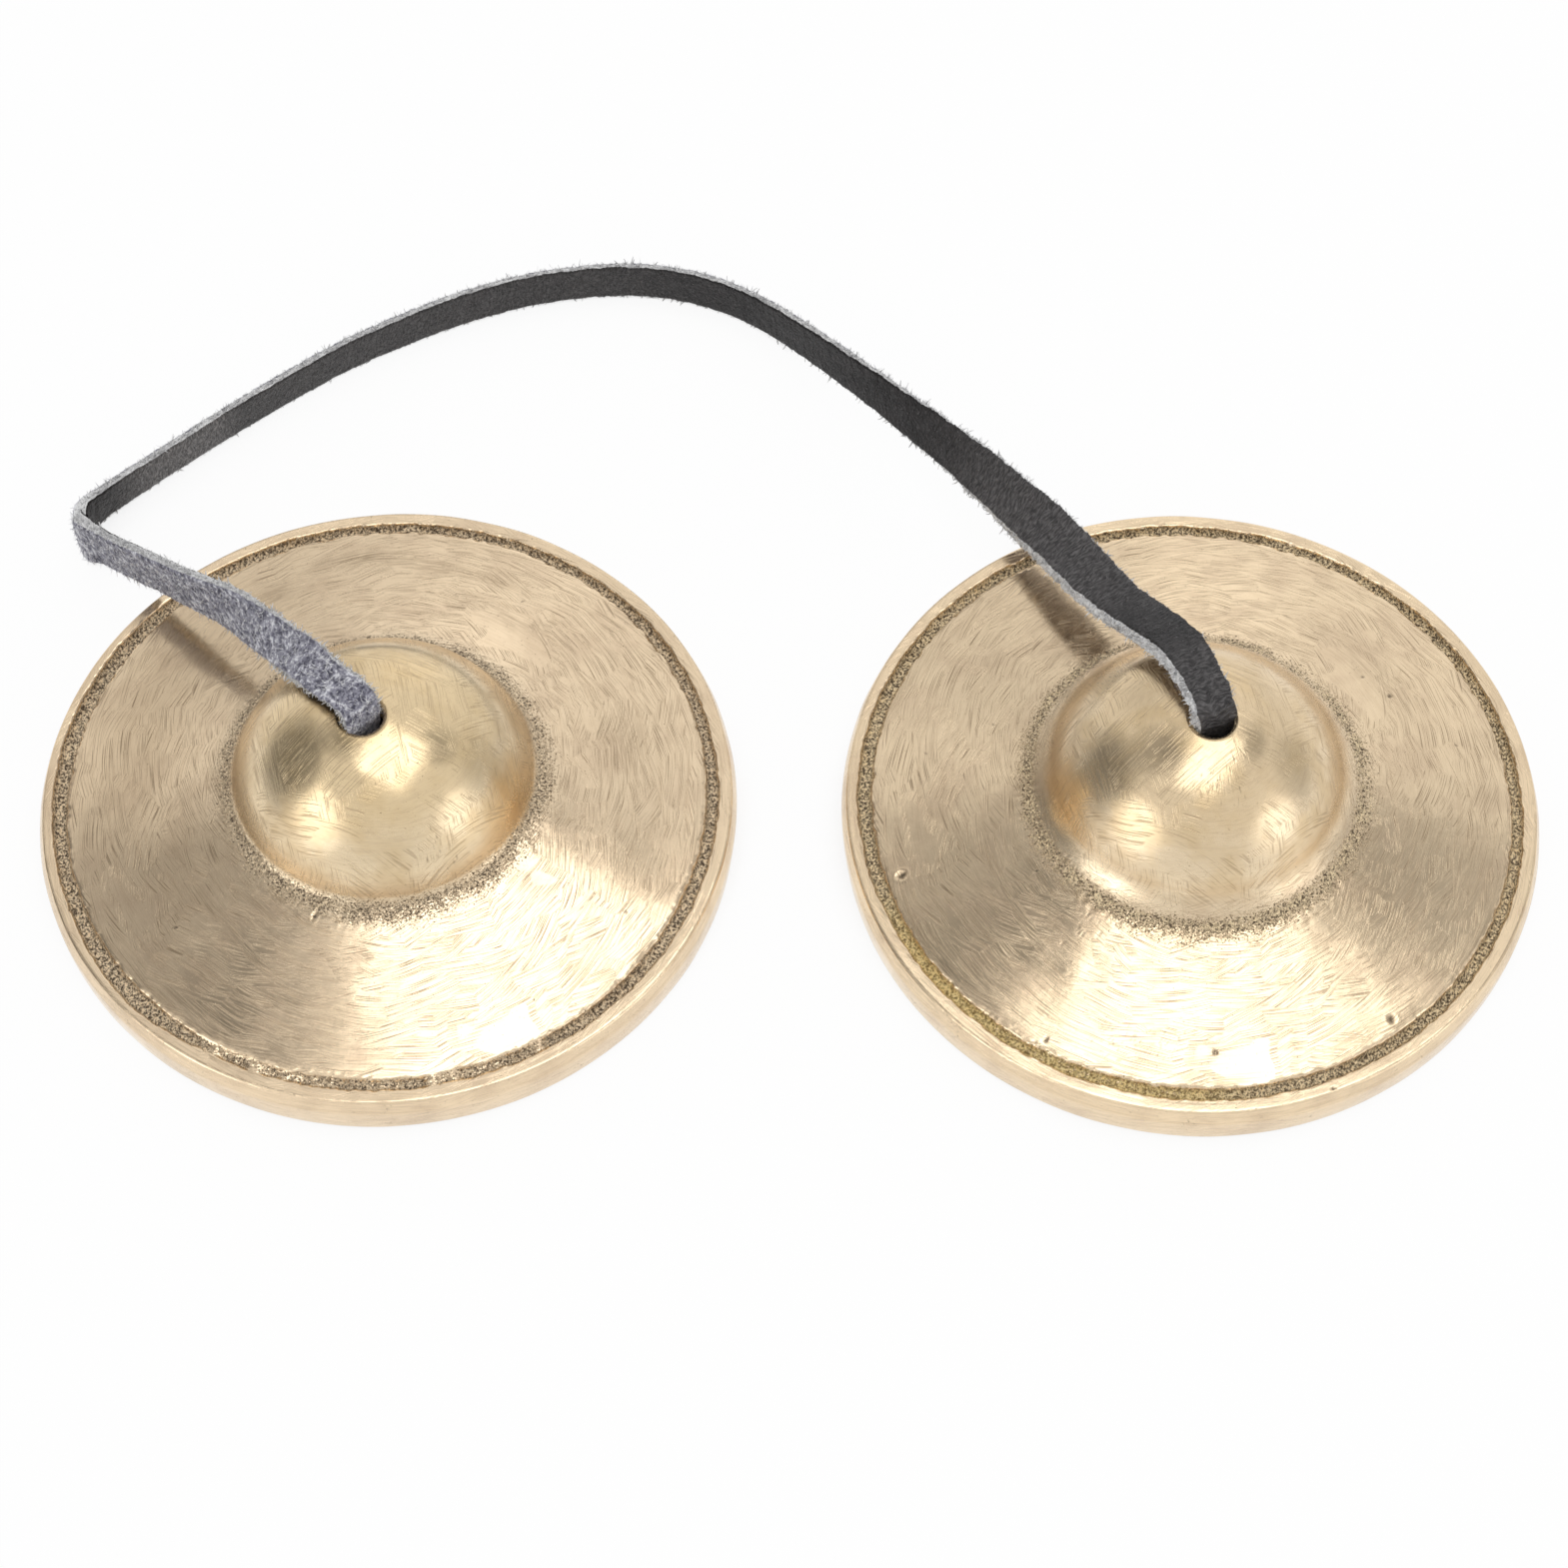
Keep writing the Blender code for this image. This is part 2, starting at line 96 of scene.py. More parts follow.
# Thong, as in the solids. Legs: x and y from the hole, height over its mouth, lean, width.
STRAP_WIDTH = 4.8
STRAP_THICKNESS = 1.1
KNOT_THICKNESS = 1.3
TABLE_CLEARANCE = 0.1
KNOT_CENTRE_DROP = 7.9
LEFT_LEG = [
    (-0.3, 0.35, 1.5, 90, 3.2), (-1.1, 1.15, 2.0, 90, 3.4), (-3.0, 2.8, 1.55, 84, 3.5),
    (-5.4, 5.3, 0.6, 66, 3.7), (-7.9, 8.3, -1.0, 45, 4.0), (-10.6, 11.2, -2.4, 27, 4.5),
    (-13.4, 14.2, -4.1, 13, 4.8), (-16.4, 16.9, -6.0, 4, 4.8), (-19.5, 19.8, -8.2, 0, 4.8),
    (-22.5, 22.7, -10.4, -2, 4.8), (-25.6, 25.8, -13.0, -3, 4.8), (-28.5, 29.2, -15.8, -2, 4.8),
    (-29.6, 30.3, -16.6, 0, 4.8),
]
RIGHT_LEG = [
    (-0.2, 0.45, 1.5, -90, 3.2), (-0.7, 1.6, 2.0, -90, 3.4), (-1.6, 3.9, 1.9, -88, 3.7),
    (-2.9, 7.2, 0.9, -86, 3.9), (-7.2, 15.6, -5.4, -84, 4.1), (-10.2, 20.8, -7.7, -76, 4.5),
    (-13.0, 25.9, -9.5, -64, 4.8), (-15.6, 29.9, -10.9, -50, 4.8), (-19.3, 35.3, -12.5, -34, 4.8),
    (-23.6, 40.5, -13.6, -22, 4.8), (-28.2, 45.7, -14.7, -12, 4.8), (-33.0, 50.7, -15.5, -5, 4.8),
    (-37.9, 55.7, -16.7, -1, 4.8),
]
# The run behind the cymbals, on its edge on the table: x, y, lean.
TABLE_RUN = [
    (-68.7, 31.2, 0), (-68.9, 32.3, 0), (-68.6, 33.4, 1), (-67.9, 34.3, 4), (-65.7, 36.3, 6),
    (-60.2, 40.9, 7), (-50.5, 48.5, 6), (-40.2, 55.2, 4), (-29.1, 60.1, 2), (-23.1, 61.6, 2),
    (-17.1, 62.2, 2), (-11.0, 61.6, 1), (-5.1, 59.4, 0),
]
# The overhand knot under the hole: turn, distance from its axis, height, tilt, width.
KNOT = [
    (0, 0.0, 8.3, -180, 3.1), (0, 0.0, 6.0, -180, 3.0), (0, 0.0, 3.0, -180, 2.9),
    (0, 0.0, 0.0, -180, 2.8), (0, 0.1, -1.8, -175, 2.8), (0, 1.2, -3.3, -120, 2.9),
    (8, 3.1, -3.3, -70, 2.9), (30, 4.3, -2.0, -30, 2.9), (75, 4.5, -1.0, -5, 2.9),
    (130, 4.5, -0.6, 0, 2.9), (190, 4.5, -0.2, 0, 2.9), (250, 4.5, 0.3, 5, 2.9),
    (310, 4.4, 1.0, 10, 2.9), (360, 4.0, 1.8, 20, 2.9), (405, 3.15, 2.0, 25, 2.9),
    (450, 2.65, 0.9, 10, 2.9), (490, 2.65, -1.2, 0, 2.9), (515, 2.7, -3.6, 0, 3.0),
    (528, 3.2, -5.2, 15, 3.3), (535, 4.1, -6.2, 34, 3.6),
]


class Lattice:
    """Smooth seeded noise from -1 to 1, read at many points at once."""

    SIDE = 48
    OCTAVE_SHIFT = 17.3

    def __init__(self, seed):
        self.values = np.random.default_rng(seed).random((self.SIDE,) * 3) * 2 - 1

    def at(self, points, size):
        places = np.asarray(points, float) / size
        base = np.floor(places).astype(int)
        share = places - base
        share = share * share * (3 - 2 * share)
        total = np.zeros(len(places))
        for corner in range(8):
            step = np.array([corner & 1, corner >> 1 & 1, corner >> 2 & 1])
            weight = np.prod(np.where(step, share, 1 - share), axis=1)
            cell = (base + step) % self.SIDE
            total += weight * self.values[cell[:, 0], cell[:, 1], cell[:, 2]]
        return total

    def layered(self, points, size, octaves):
        total = np.zeros(len(points))
        for octave in range(octaves):
            shifted = np.asarray(points) + self.OCTAVE_SHIFT * octave
            total += self.at(shifted, size / 2**octave) / 2**octave
        return total / (2 - 2 ** (1 - octaves))


def step_up(value, low, high):
    share = np.clip((value - low) / (high - low), 0, 1)
    return share * share * (3 - 2 * share)


def bell(value, middle, reach, power=2):
    return np.exp(-(((value - middle) / reach) ** power))


def angle_gap(a, b):
    return (a - b + 180) % 360 - 180


def unit(vectors):
    return vectors / np.linalg.norm(vectors, axis=-1, keepdims=True)


def add_object(name, data, at=(0, 0, 0)):
    obj = bpy.data.objects.new(name, data)
    obj.location = at
    bpy.context.scene.collection.objects.link(obj)
    return obj


def mesh_object(name, points, faces, materials, smooth=True):
    mesh = bpy.data.meshes.new(name)
    faces = np.asarray(faces, dtype=np.int32)
    count, corners = faces.shape
    mesh.vertices.add(len(points))
    mesh.vertices.foreach_set("co", (np.asarray(points) * MM).astype(np.float32).ravel())
    mesh.loops.add(count * corners)
    mesh.loops.foreach_set("vertex_index", faces.ravel())
    mesh.polygons.add(count)
    mesh.polygons.foreach_set("loop_start", np.arange(count, dtype=np.int32) * corners)
    mesh.polygons.foreach_set("loop_total", np.full(count, corners, dtype=np.int32))
    mesh.update(calc_edges=True)
    mesh.validate()
    if smooth:
        mesh.shade_smooth()
    for material in materials:
        mesh.materials.append(material)
    return add_object(name, mesh)


def grid_faces(rows, columns, closed):
    """Quads of a grid that closes from its last column to its first, and over its rows if `closed`."""
    i, j = np.meshgrid(np.arange(rows if closed else rows - 1), np.arange(columns), indexing="ij")
    below, beside = (i + 1) % rows, (j + 1) % columns
    corners = [i * columns + j, i * columns + beside, below * columns + beside, below * columns + j]
    return np.stack(corners, axis=-1).reshape(-1, 4)


def point_values(obj, name, values):
    attribute = obj.data.attributes.new(name, "FLOAT", "POINT")
    attribute.data.foreach_set("value", np.asarray(values, dtype=np.float32).ravel())


class Graph:
    """Short calls for building one node tree."""

    def __init__(self, tree):
        self.tree = tree
        self.nodes = tree.nodes
        self.shader = tree.nodes.get("Principled BSDF")

    def feed(self, socket, value):
        if isinstance(value, bpy.types.NodeSocket):
            self.tree.links.new(value, socket)
        else:
            socket.default_value = value

    def look(self, name, value):
        self.feed(self.shader.inputs[name], value)

    def make(self, kind, inputs, **settings):
        node = self.nodes.new("ShaderNode" + kind)
        for name, value in settings.items():
            setattr(node, name, value)
        for key, value in inputs.items():
            self.feed(node.inputs[key], value)
        return node

    def math(self, operation, *values):
        return self.make("Math", dict(enumerate(values)), operation=operation).outputs[0]

    def plus(self, a, b):
        return self.math("ADD", a, b)

    def minus(self, a, b):
        return self.math("SUBTRACT", a, b)

    def times(self, a, b):
        return self.math("MULTIPLY", a, b)

    def greater(self, a, b):
        return self.math("MAXIMUM", a, b)

    def vector(self, operation, *values):
        node = self.make("VectorMath", dict(enumerate(values)), operation=operation)
        return node.outputs["Value" if operation == "DOT_PRODUCT" else "Vector"]

    def stretched(self, vector, scales):
        return self.vector("MULTIPLY", vector, scales)

    def turned(self, vector, angle):
        inputs = {"Vector": vector, "Angle": angle}
        return self.make("VectorRotate", inputs, rotation_type="Z_AXIS").outputs[0]

    def noise(self, at, scale, detail, roughness=0.5):
        inputs = {"Vector": at, "Scale": scale, "Detail": detail, "Roughness": roughness}
        return self.make("TexNoise", inputs).outputs["Fac"]

    def cells(self, at, scale):
        return self.make("TexVoronoi", {"Vector": at, "Scale": scale}).outputs["Distance"]

    def spread(self, value, low, high, to_low=0.0, to_high=1.0):
        limits = {"From Min": low, "From Max": high, "To Min": to_low, "To Max": to_high}
        node = self.make("MapRange", {"Value": value, **limits}, interpolation_type="SMOOTHSTEP")
        return node.outputs["Result"]

    def mix(self, factor, a, b):
        return self.make("Mix", {0: factor, 6: a, 7: b}, data_type="RGBA").outputs[2]

    def xyz(self, vector):
        return self.make("SeparateXYZ", {0: vector}).outputs

    def join(self, x, y, z):
        return self.make("CombineXYZ", {0: x, 1: y, 2: z}).outputs[0]

    def grey(self, value):
        return self.join(value, value, value)

    def bump(self, height, distance, strength, normal=None):
        inputs = {"Height": height, "Distance": distance, "Strength": strength}
        if normal:
            inputs["Normal"] = normal
        return self.make("Bump", inputs).outputs[0]

    def attribute(self, name):
        return self.make("Attribute", {}, attribute_name=name).outputs["Fac"]

    def millimetres(self):
        inputs = {0: self.make("TexCoord", {}).outputs["Object"], "Scale": 1 / MM}
        return self.make("VectorMath", inputs, operation="SCALE").outputs["Vector"]


def new_material(name):
    material = bpy.data.materials.new(name)
    material.use_nodes = True
    return material, Graph(material.node_tree)


# The angle at which a cymbal's strokes have their seam. It lies under the strap.
SEAM = {"left": 137, "right": 118}
# Strokes: their turns, the shift of the patches they lie in, and their fineness.
FLANGE_STROKES = (-30, 14, -8, 26, 4), 0.0, 11.5
DOME_STROKES = (20, 75, 140), 50.0, 11.0

# Each side's colours: filed flange, filed dome, and the dark and the light of its cast skin.
BRASS_COLOURS = {
    "left": (
        (0.88, 0.70, 0.485, 1), (0.80, 0.63, 0.39, 1), (0.098, 0.068, 0.044, 1), (0.96, 0.79, 0.56, 1),
    ),
    "right": (
        (0.89, 0.71, 0.485, 1), (0.80, 0.63, 0.41, 1), (0.098, 0.068, 0.042, 1), (0.97, 0.80, 0.53, 1),
    ),
}
FLANK_BRASS = (0.88, 0.74, 0.54, 1)
FLANGE_STAIN = (0.66, 0.50, 0.345, 1)
DOME_STAIN = (0.62, 0.45, 0.23, 1)
BRUSHED_BRASS = (0.60, 0.45, 0.29, 1)
HAIRLINE_BRASS = (0.42, 0.31, 0.20, 1)
TARNISHED_BRASS = (0.47, 0.345, 0.215, 1)
SCRATCHED_BRASS = (0.25, 0.175, 0.105, 1)
GOLD_DARK = (0.30, 0.205, 0.075, 1)
GOLD_LIGHT = (0.93, 0.75, 0.36, 1)
PIT_FLOOR = (0.05, 0.036, 0.024, 1)
CAST_ROUGHNESS = (0.6, 0.6, 0.6, 1)


def streaks(g, flat, turns, shift, fineness):
    """Fine scratches in a few directions, each in its own patches. `flat` is a place."""
    where = g.noise(g.vector("ADD", flat, (shift, -0.7 * shift, 4.0)), 0.12, 2.0)
    lines = None
    for i, turn in enumerate(turns):
        streak = g.noise(g.stretched(g.turned(flat, radians(turn)), (0.21, fineness, 0.5)), 1.0, 1.0)
        middle = 0.5 + 0.075 * (i - (len(turns) - 1) / 2)
        patch = g.spread(g.math("ABSOLUTE", g.minus(where, middle)), 0.028, 0.05, 1.0, 0.0)
        one = g.times(g.spread(streak, 0.53, 0.67), patch)
        lines = one if lines is None else g.greater(lines, one)
    return lines


def rolled_out(g, place, side):
    """A cymbal's top as a flat strip, the way round and the way out, and how far the strip drifts."""
    x, y, z = g.xyz(g.turned(place, pi - radians(SEAM[side])))
    away = g.math("SQRT", g.plus(g.times(x, x), g.times(y, y)))
    outward = g.minus(away, g.times(z, 1.1))
    drift = g.times(g.minus(g.noise(place, 0.11, 1.0), 0.5), 1.6)
    around = g.times(g.math("ARCTAN2", y, x), 22.0)
    return g.join(around, g.plus(outward, drift), 0.0), drift


def file_marks(g, place, rolled, drift, dome):
    """Slanting strokes round the flange, crossed ones on the dome, and bundles at the scuffs."""
    strokes = streaks(g, rolled, *FLANGE_STROKES)
    crossed = streaks(g, g.vector("ADD", place, g.join(drift, drift, 0.0)), *DOME_STROKES)
    lines = g.xyz(g.mix(dome, g.grey(strokes), g.grey(crossed)))[0]
    arcs = g.noise(g.stretched(rolled, (0.3, 6.0, 1.0)), 1.0, 2.0, 0.6)
    return g.greater(lines, g.times(g.spread(arcs, 0.40, 0.56), g.attribute("scuff")))


def filed_colour(g, colours, rolled, mottle, lines, dome, flank):
    """Bright filed metal with its stain, brushing, hairlines, tarnish and scratches."""
    brushed = g.noise(g.stretched(rolled, (0.10, 1.5, 1.0)), 1.0, 3.0, 0.65)
    hair = g.noise(g.stretched(rolled, (0.35, 9.0, 1.0)), 1.0, 2.0, 0.6)
    colour = g.mix(dome, *colours)
    colour = g.mix(g.times(flank, 0.45), colour, FLANK_BRASS)
    stained = g.mix(dome, FLANGE_STAIN, DOME_STAIN)
    colour = g.mix(g.spread(mottle, 0.40, 0.72, 0.0, 0.5), colour, stained)
    colour = g.mix(g.times(g.spread(brushed, 0.45, 0.72), 0.30), colour, BRUSHED_BRASS)
    colour = g.mix(g.times(g.spread(hair, 0.5, 0.75), 0.30), colour, HAIRLINE_BRASS)
    colour = g.mix(g.times(g.attribute("tarnish"), 0.75), colour, TARNISHED_BRASS)
    mark = g.times(lines, g.minus(0.74, g.times(dome, 0.38)))
    mark = g.times(mark, g.minus(1.0, g.times(g.attribute("wall"), 0.8)))
    return g.mix(mark, colour, SCRATCHED_BRASS)


def cast_colour(g, colours, place, sand):
    """The sandy skin of the casting, and its gold-coloured stretch."""
    pores = g.noise(place, 4.0, 3.0, 0.7)
    spots = g.spread(g.plus(g.times(sand, 0.35), g.times(pores, 0.65)), 0.45, 0.55)
    skin = g.mix(spots, *colours)
    gold = g.mix(g.spread(pores, 0.40, 0.55), GOLD_DARK, GOLD_LIGHT)
    return g.mix(g.attribute("gilt"), skin, gold)


def brass(side):
    """Hand-filed cast brass, with grainy as-cast skin wherever the file didn't reach."""
    material, g = new_material(side + " brass")
    colours = BRASS_COLOURS[side]
    place = g.vector("SUBTRACT", g.millimetres(), (*CENTRES[side], 0.0))
    dome, flank = g.attribute("dome"), g.attribute("flank")
    rolled, drift = rolled_out(g, place, side)
    lines = file_marks(g, place, rolled, drift, dome)
    mottle = g.noise(place, 0.24, 3.0, 0.55)
    grain = g.noise(place, 5.2, 3.0, 0.7)
    sand = g.noise(place, 8.5, 2.0, 0.6)
    waves = g.noise(place, 0.9, 2.0)

    uneven = g.times(g.minus(grain, 0.5), 2.3)
    covered = g.spread(g.plus(g.attribute("cast"), uneven), 0.40, 0.58)
    filed = filed_colour(g, colours[:2], rolled, mottle, lines, dome, flank)
    colour = g.mix(covered, filed, cast_colour(g, colours[2:], place, sand))
    g.look("Base Color", g.mix(g.attribute("pit"), colour, PIT_FLOOR))
    g.look("Metallic", g.spread(covered, 0.0, 1.0, 1.0, 0.6))

    roughness = g.spread(mottle, 0.3, 0.7, 0.14, 0.21)
    for mark, amount in ((lines, 0.12), (dome, 0.03), (flank, 0.08)):
        roughness = g.plus(roughness, g.times(mark, amount))
    g.look("Roughness", g.mix(covered, g.grey(roughness), CAST_ROUGHNESS))

    scratched = g.bump(lines, -0.010 * MM, 0.8)
    sandy = g.bump(g.times(g.plus(sand, grain), covered), 0.12 * MM, 0.9, scratched)
    g.look("Normal", g.bump(waves, 0.014 * MM, 0.7, sandy))
    return material


GRAIN_DARK = (0.009, 0.0075, 0.008, 1)
GRAIN_WORN = (0.022, 0.019, 0.0195, 1)
# Painted light on the grain face: highlight on the wrinkles, shade in the creases, sheen where the lamp
# catches it, and glints.
GRAIN_WRINKLE_HIGHLIGHT = (0.10, 0.09, 0.091, 1)
GRAIN_CREASE_SHADE = (0.003, 0.0025, 0.003, 1)
GRAIN_PAINTED_SHEEN = (0.33, 0.315, 0.315, 1)
GRAIN_GLINT = (0.30, 0.29, 0.295, 1)
SUEDE_COLOURS = (0.088, 0.086, 0.120, 1), (0.34, 0.335, 0.400, 1), (0.84, 0.84, 0.88, 1)
EDGE_COLOURS = (0.50, 0.495, 0.50, 1), (0.84, 0.835, 0.835, 1), (0.95, 0.95, 0.95, 1)
CURL_COLOURS = (0.30, 0.295, 0.36, 1), (0.97, 0.965, 0.98, 1)
FLUFF_COLOURS = (0.50, 0.50, 0.51, 1), (0.88, 0.88, 0.88, 1)


def grain_leather(name):
    """The thong's black face, with wrinkles and creases that follow it, painted highlights on the wrinkles,
    painted shade in the creases, painted sheen and painted glints.
    """
    material, g = new_material(name)
    place = g.millimetres()
    strip = g.join(g.attribute("along"), g.attribute("aside"), 0.0)
    bent = g.times(g.noise(strip, 0.6, 2.0), 1.2)
    strip = g.vector("ADD", strip, g.join(bent, 0.0, 0.0))
    wrinkle = g.noise(g.stretched(strip, (4.6, 1.8, 1.0)), 1.0, 3.0, 0.65)
    crease = g.noise(g.stretched(strip, (5.8, 1.3, 1.0)), 1.0, 2.0)
    fold = g.noise(g.stretched(strip, (1.3, 0.35, 1.0)), 1.0, 2.0)
    pebble = g.cells(strip, 3.6)
    fine = g.noise(place, 8.0, 3.0, 0.6)
    tone = g.noise(place, 0.4, 3.0, 0.6)

    colour = g.mix(g.spread(tone, 0.35, 0.7), GRAIN_DARK, GRAIN_WORN)
    # Painted highlight on the wrinkles.
    colour = g.mix(g.spread(wrinkle, 0.53, 0.70, 0.0, 0.7), colour, GRAIN_WRINKLE_HIGHLIGHT)
    # Painted shade in the creases.
    colour = g.mix(g.spread(crease, 0.60, 0.70, 0.0, 0.85), colour, GRAIN_CREASE_SHADE)
    # Painted sheen: a pale wash standing in for the lamp's soft highlight on the grain face.
    painted_highlight_share = g.times(g.spread(crease, 0.60, 0.36, 0.14, 0.50), g.attribute("painted_sheen"))
    colour = g.mix(painted_highlight_share, colour, GRAIN_PAINTED_SHEEN)
    # Painted glints: small pale spots standing in for the lamp's glints on the grain.
    painted_glints = g.spread(g.noise(place, 4.6, 2.0, 0.7), 0.67, 0.76)
    g.look("Base Color", g.mix(painted_glints, colour, GRAIN_GLINT))
    g.look("Roughness", g.spread(fine, 0.3, 0.7, 0.33, 0.50))
    g.look("Specular IOR Level", 0.25)

    height = g.plus(g.times(pebble, -0.45), g.times(wrinkle, 1.5))
    height = g.plus(height, g.times(fold, 2.4))
    wrinkled = g.bump(height, 0.30 * MM, 1.0)
    g.look("Normal", g.bump(fine, 0.05 * MM, 0.5, wrinkled))
    return material


def raw_leather(name, colours):
    """Suede or a cut edge: dark between its tufts, paler where they rise, and palest on top."""
    material, g = new_material(name)
    dark, pale, palest = colours
    place = g.millimetres()
    tone = g.noise(place, 0.9, 4.0, 0.7)
    nap = g.noise(place, 3.8, 4.0, 0.75)
    raised = g.plus(g.attribute("lift"), g.times(g.minus(nap, 0.5), 2.2))
    raised = g.plus(raised, g.times(g.minus(tone, 0.5), 1.2))
    colour = g.mix(g.spread(raised, -0.45, 0.22), dark, pale)
    g.look("Base Color", g.mix(g.spread(raised, 0.22, 0.62), colour, palest))
    g.look("Roughness", 0.95)
    g.look("Sheen Weight", 0.25)
    g.look("Sheen Roughness", 0.5)
    g.look("Specular IOR Level", 0.15)
    g.look("Normal", g.bump(nap, 0.22 * MM, 0.9))
    return material


def fibre_material(name, colours):
    material, g = new_material(name)
    share = g.spread(g.noise(g.millimetres(), 2.2, 1.0), 0.35, 0.65)
    g.look("Base Color", g.mix(share, *colours))
    g.look("Roughness", 0.8)
    return material


def smooth_curve(rows, places, at):
    """The natural cubic curve through `rows`, which lie at `places`, read at each of `at`."""
    gaps = np.diff(places)
    slopes = np.diff(rows, axis=0) / gaps[:, None]
    system = np.eye(len(rows))
    wanted = np.zeros_like(rows)
    for i in range(1, len(rows) - 1):
        system[i, i - 1 : i + 2] = gaps[i - 1], 2 * (gaps[i - 1] + gaps[i]), gaps[i]
        wanted[i] = 6 * (slopes[i] - slopes[i - 1])
    bends = np.linalg.solve(system, wanted)
    i = np.clip(np.searchsorted(places, at, side="right") - 1, 0, len(gaps) - 1)
    before = ((places[i + 1] - at) / gaps[i])[:, None]
    after = 1 - before
    pull = (before**3 - before) * bends[i] + (after**3 - after) * bends[i + 1]
    return before * rows[i] + after * rows[i + 1] + pull * (gaps[i] ** 2)[:, None] / 6


def leg_points(leg, hole):
    return [(hole[0] + x, hole[1] + y, MOUTH + z, lean, width) for x, y, z, lean, width in leg]


def strap_rows():
    """Rows of the strap: place, grain direction, width, thickness."""
    on_table = STRAP_WIDTH / 2 + TABLE_CLEARANCE
    points = leg_points(LEFT_LEG, HOLES["left"])
    points += [(x, y, on_table, lean, STRAP_WIDTH) for x, y, lean in TABLE_RUN]
    points += leg_points(RIGHT_LEG, HOLES["right"])[::-1]
    rows = []
    for i, (x, y, z, lean, width) in enumerate(points):
        along = unit(np.subtract(points[min(i + 1, len(points) - 1)][:3], points[max(i - 1, 0)][:3]))
        inward = unit(np.array([along[1], -along[0], 0]))
        upward = np.cross(inward, along)
        grain = inward * cos(radians(lean)) - upward * sin(radians(lean))
        rows.append((x, y, z, *grain, width, STRAP_THICKNESS))
    return rows


def knot_rows(hole, heading):
    """Rows of a knot, from the hole's mouth to the tail's end, with its first wrap at `heading`."""
    rows = []
    for turn, away, height, tilt, width in KNOT:
        way = radians(turn) + heading
        outward = np.array([cos(way), sin(way), 0])
        grain = outward * cos(radians(tilt)) + np.array([0, 0, sin(radians(tilt))])
        place = np.array([*hole, MOUTH - KNOT_CENTRE_DROP + height]) + outward * away
        rows.append((*place, *grain, width, KNOT_THICKNESS))
    return rows


def step_lengths(points):
    return np.linalg.norm(np.diff(points, axis=0), axis=1)


def running_total(steps):
    return np.concatenate([[0], np.cumsum(steps)])


LEFT_ROWS = knot_rows(HOLES["left"], atan2(LEFT_LEG[1][1], LEFT_LEG[1][0]) + pi)[::-1]
STRAP_ROWS = strap_rows()
RIGHT_ROWS = knot_rows(HOLES["right"], atan2(RIGHT_LEG[1][1], RIGHT_LEG[1][0]))
ROWS = np.array(LEFT_ROWS + STRAP_ROWS + RIGHT_ROWS)
PLACES = running_total(np.sqrt(step_lengths(ROWS[:, :3] * MM)))
NUDGE = 0.0004

# The whole thong's length is measured once, so that any length on it has its place.
FINE_PLACES = np.linspace(PLACES[0], PLACES[-1], 12000)
FINE_LENGTHS = running_total(step_lengths(smooth_curve(ROWS, PLACES, FINE_PLACES)[:, :3]))


def length_at(row):
    return float(np.interp(PLACES[row], FINE_PLACES, FINE_LENGTHS))


def thong_frames(lengths):
    """Middle, grain direction, direction across, width and thickness at each length."""
    at = np.interp(lengths, FINE_LENGTHS, FINE_PLACES)
    read = smooth_curve(ROWS, PLACES, at)
    ahead = smooth_curve(ROWS, PLACES, at + NUDGE) - smooth_curve(ROWS, PLACES, at - NUDGE)
    ahead = unit(ahead[:, :3])
    grain = unit(read[:, 3:6] - (read[:, 3:6] * ahead).sum(axis=1)[:, None] * ahead)
    return read[:, :3], grain, np.cross(grain, ahead), read[:, 6], read[:, 7]


FIRST_STRAP_ROW = len(LEFT_ROWS)
FIRST_TABLE_ROW = FIRST_STRAP_ROW + len(LEFT_LEG)
LAST_STRAP_ROW = FIRST_STRAP_ROW + len(STRAP_ROWS) - 1
LEFT_FOLD = length_at(FIRST_STRAP_ROW)
RIGHT_FOLD = length_at(LAST_STRAP_ROW)
TAIL_END = FINE_LENGTHS[-1]
BEND = length_at(FIRST_TABLE_ROW + 1)

# The strap ends, and the pieces over the folds begin and end, so far from the folds.
FOLD_ON_STRAP = 3.0
FOLD_IN_HOLE = 2.2
STRAP_START = LEFT_FOLD + FOLD_ON_STRAP
STRAP_END = RIGHT_FOLD - FOLD_ON_STRAP
STRAP_STEP = 0.17
FOLD_STEP = 0.12
KNOT_STEP = 0.25


GRAIN_SIDE, SUEDE_SIDE, CUT_SIDE = range(3)
FACE_STEPS = 22
EDGE_STEPS = 6
EDGE_EASE = 0.16
WIDTH_AT_FOLD = 3.65
FLOOR_GAP = 0.06
SQUEEZE = 0.02
NAP = Lattice(5)
WEAR = Lattice(6)

# The cut edges slant by this share of the thickness, and the other way on the left leg.
SLANT = 0.45
LEFT_LEG_SLANT = -0.12

# Swelling and paleness at the sharp bend: amount and reach.
BEND_SWELL = 0.45, 2.4
BEND_PALE = 0.7, 2.0

# Frayed edges: size and depth of the coarse and the fine fray, and of the edge's slow wander.
COARSE_FRAY = 0.9, 0.19
FINE_FRAY = 0.22, 0.17
WANDER = 5.0, 0.22

# Raised suede: size and height of tufts and of fuzz. Grain creases: stretch, size and height.
TUFTS = 0.42, 0.10
FUZZ = 0.19, 0.06
CREASES = ((1.0, 0.25, 1.0), 0.42, 0.018), ((0.3, 0.3, 1.0), 0.75, 0.03)

# Where painted sheen lies on the grain face, standing in for the lamp's highlight: the middle of each place,
# its reach and its strength.
PAINTED_SHEEN_PLACES = (
    (length_at(FIRST_TABLE_ROW + 5), 7.0, 1.6),
    (length_at(FIRST_TABLE_ROW + 7), 32.0, 0.5),
    (length_at(LAST_STRAP_ROW - 6), 16.0, 0.8),
    (length_at(LAST_STRAP_ROW - 1), 6.0, 0.7),
)


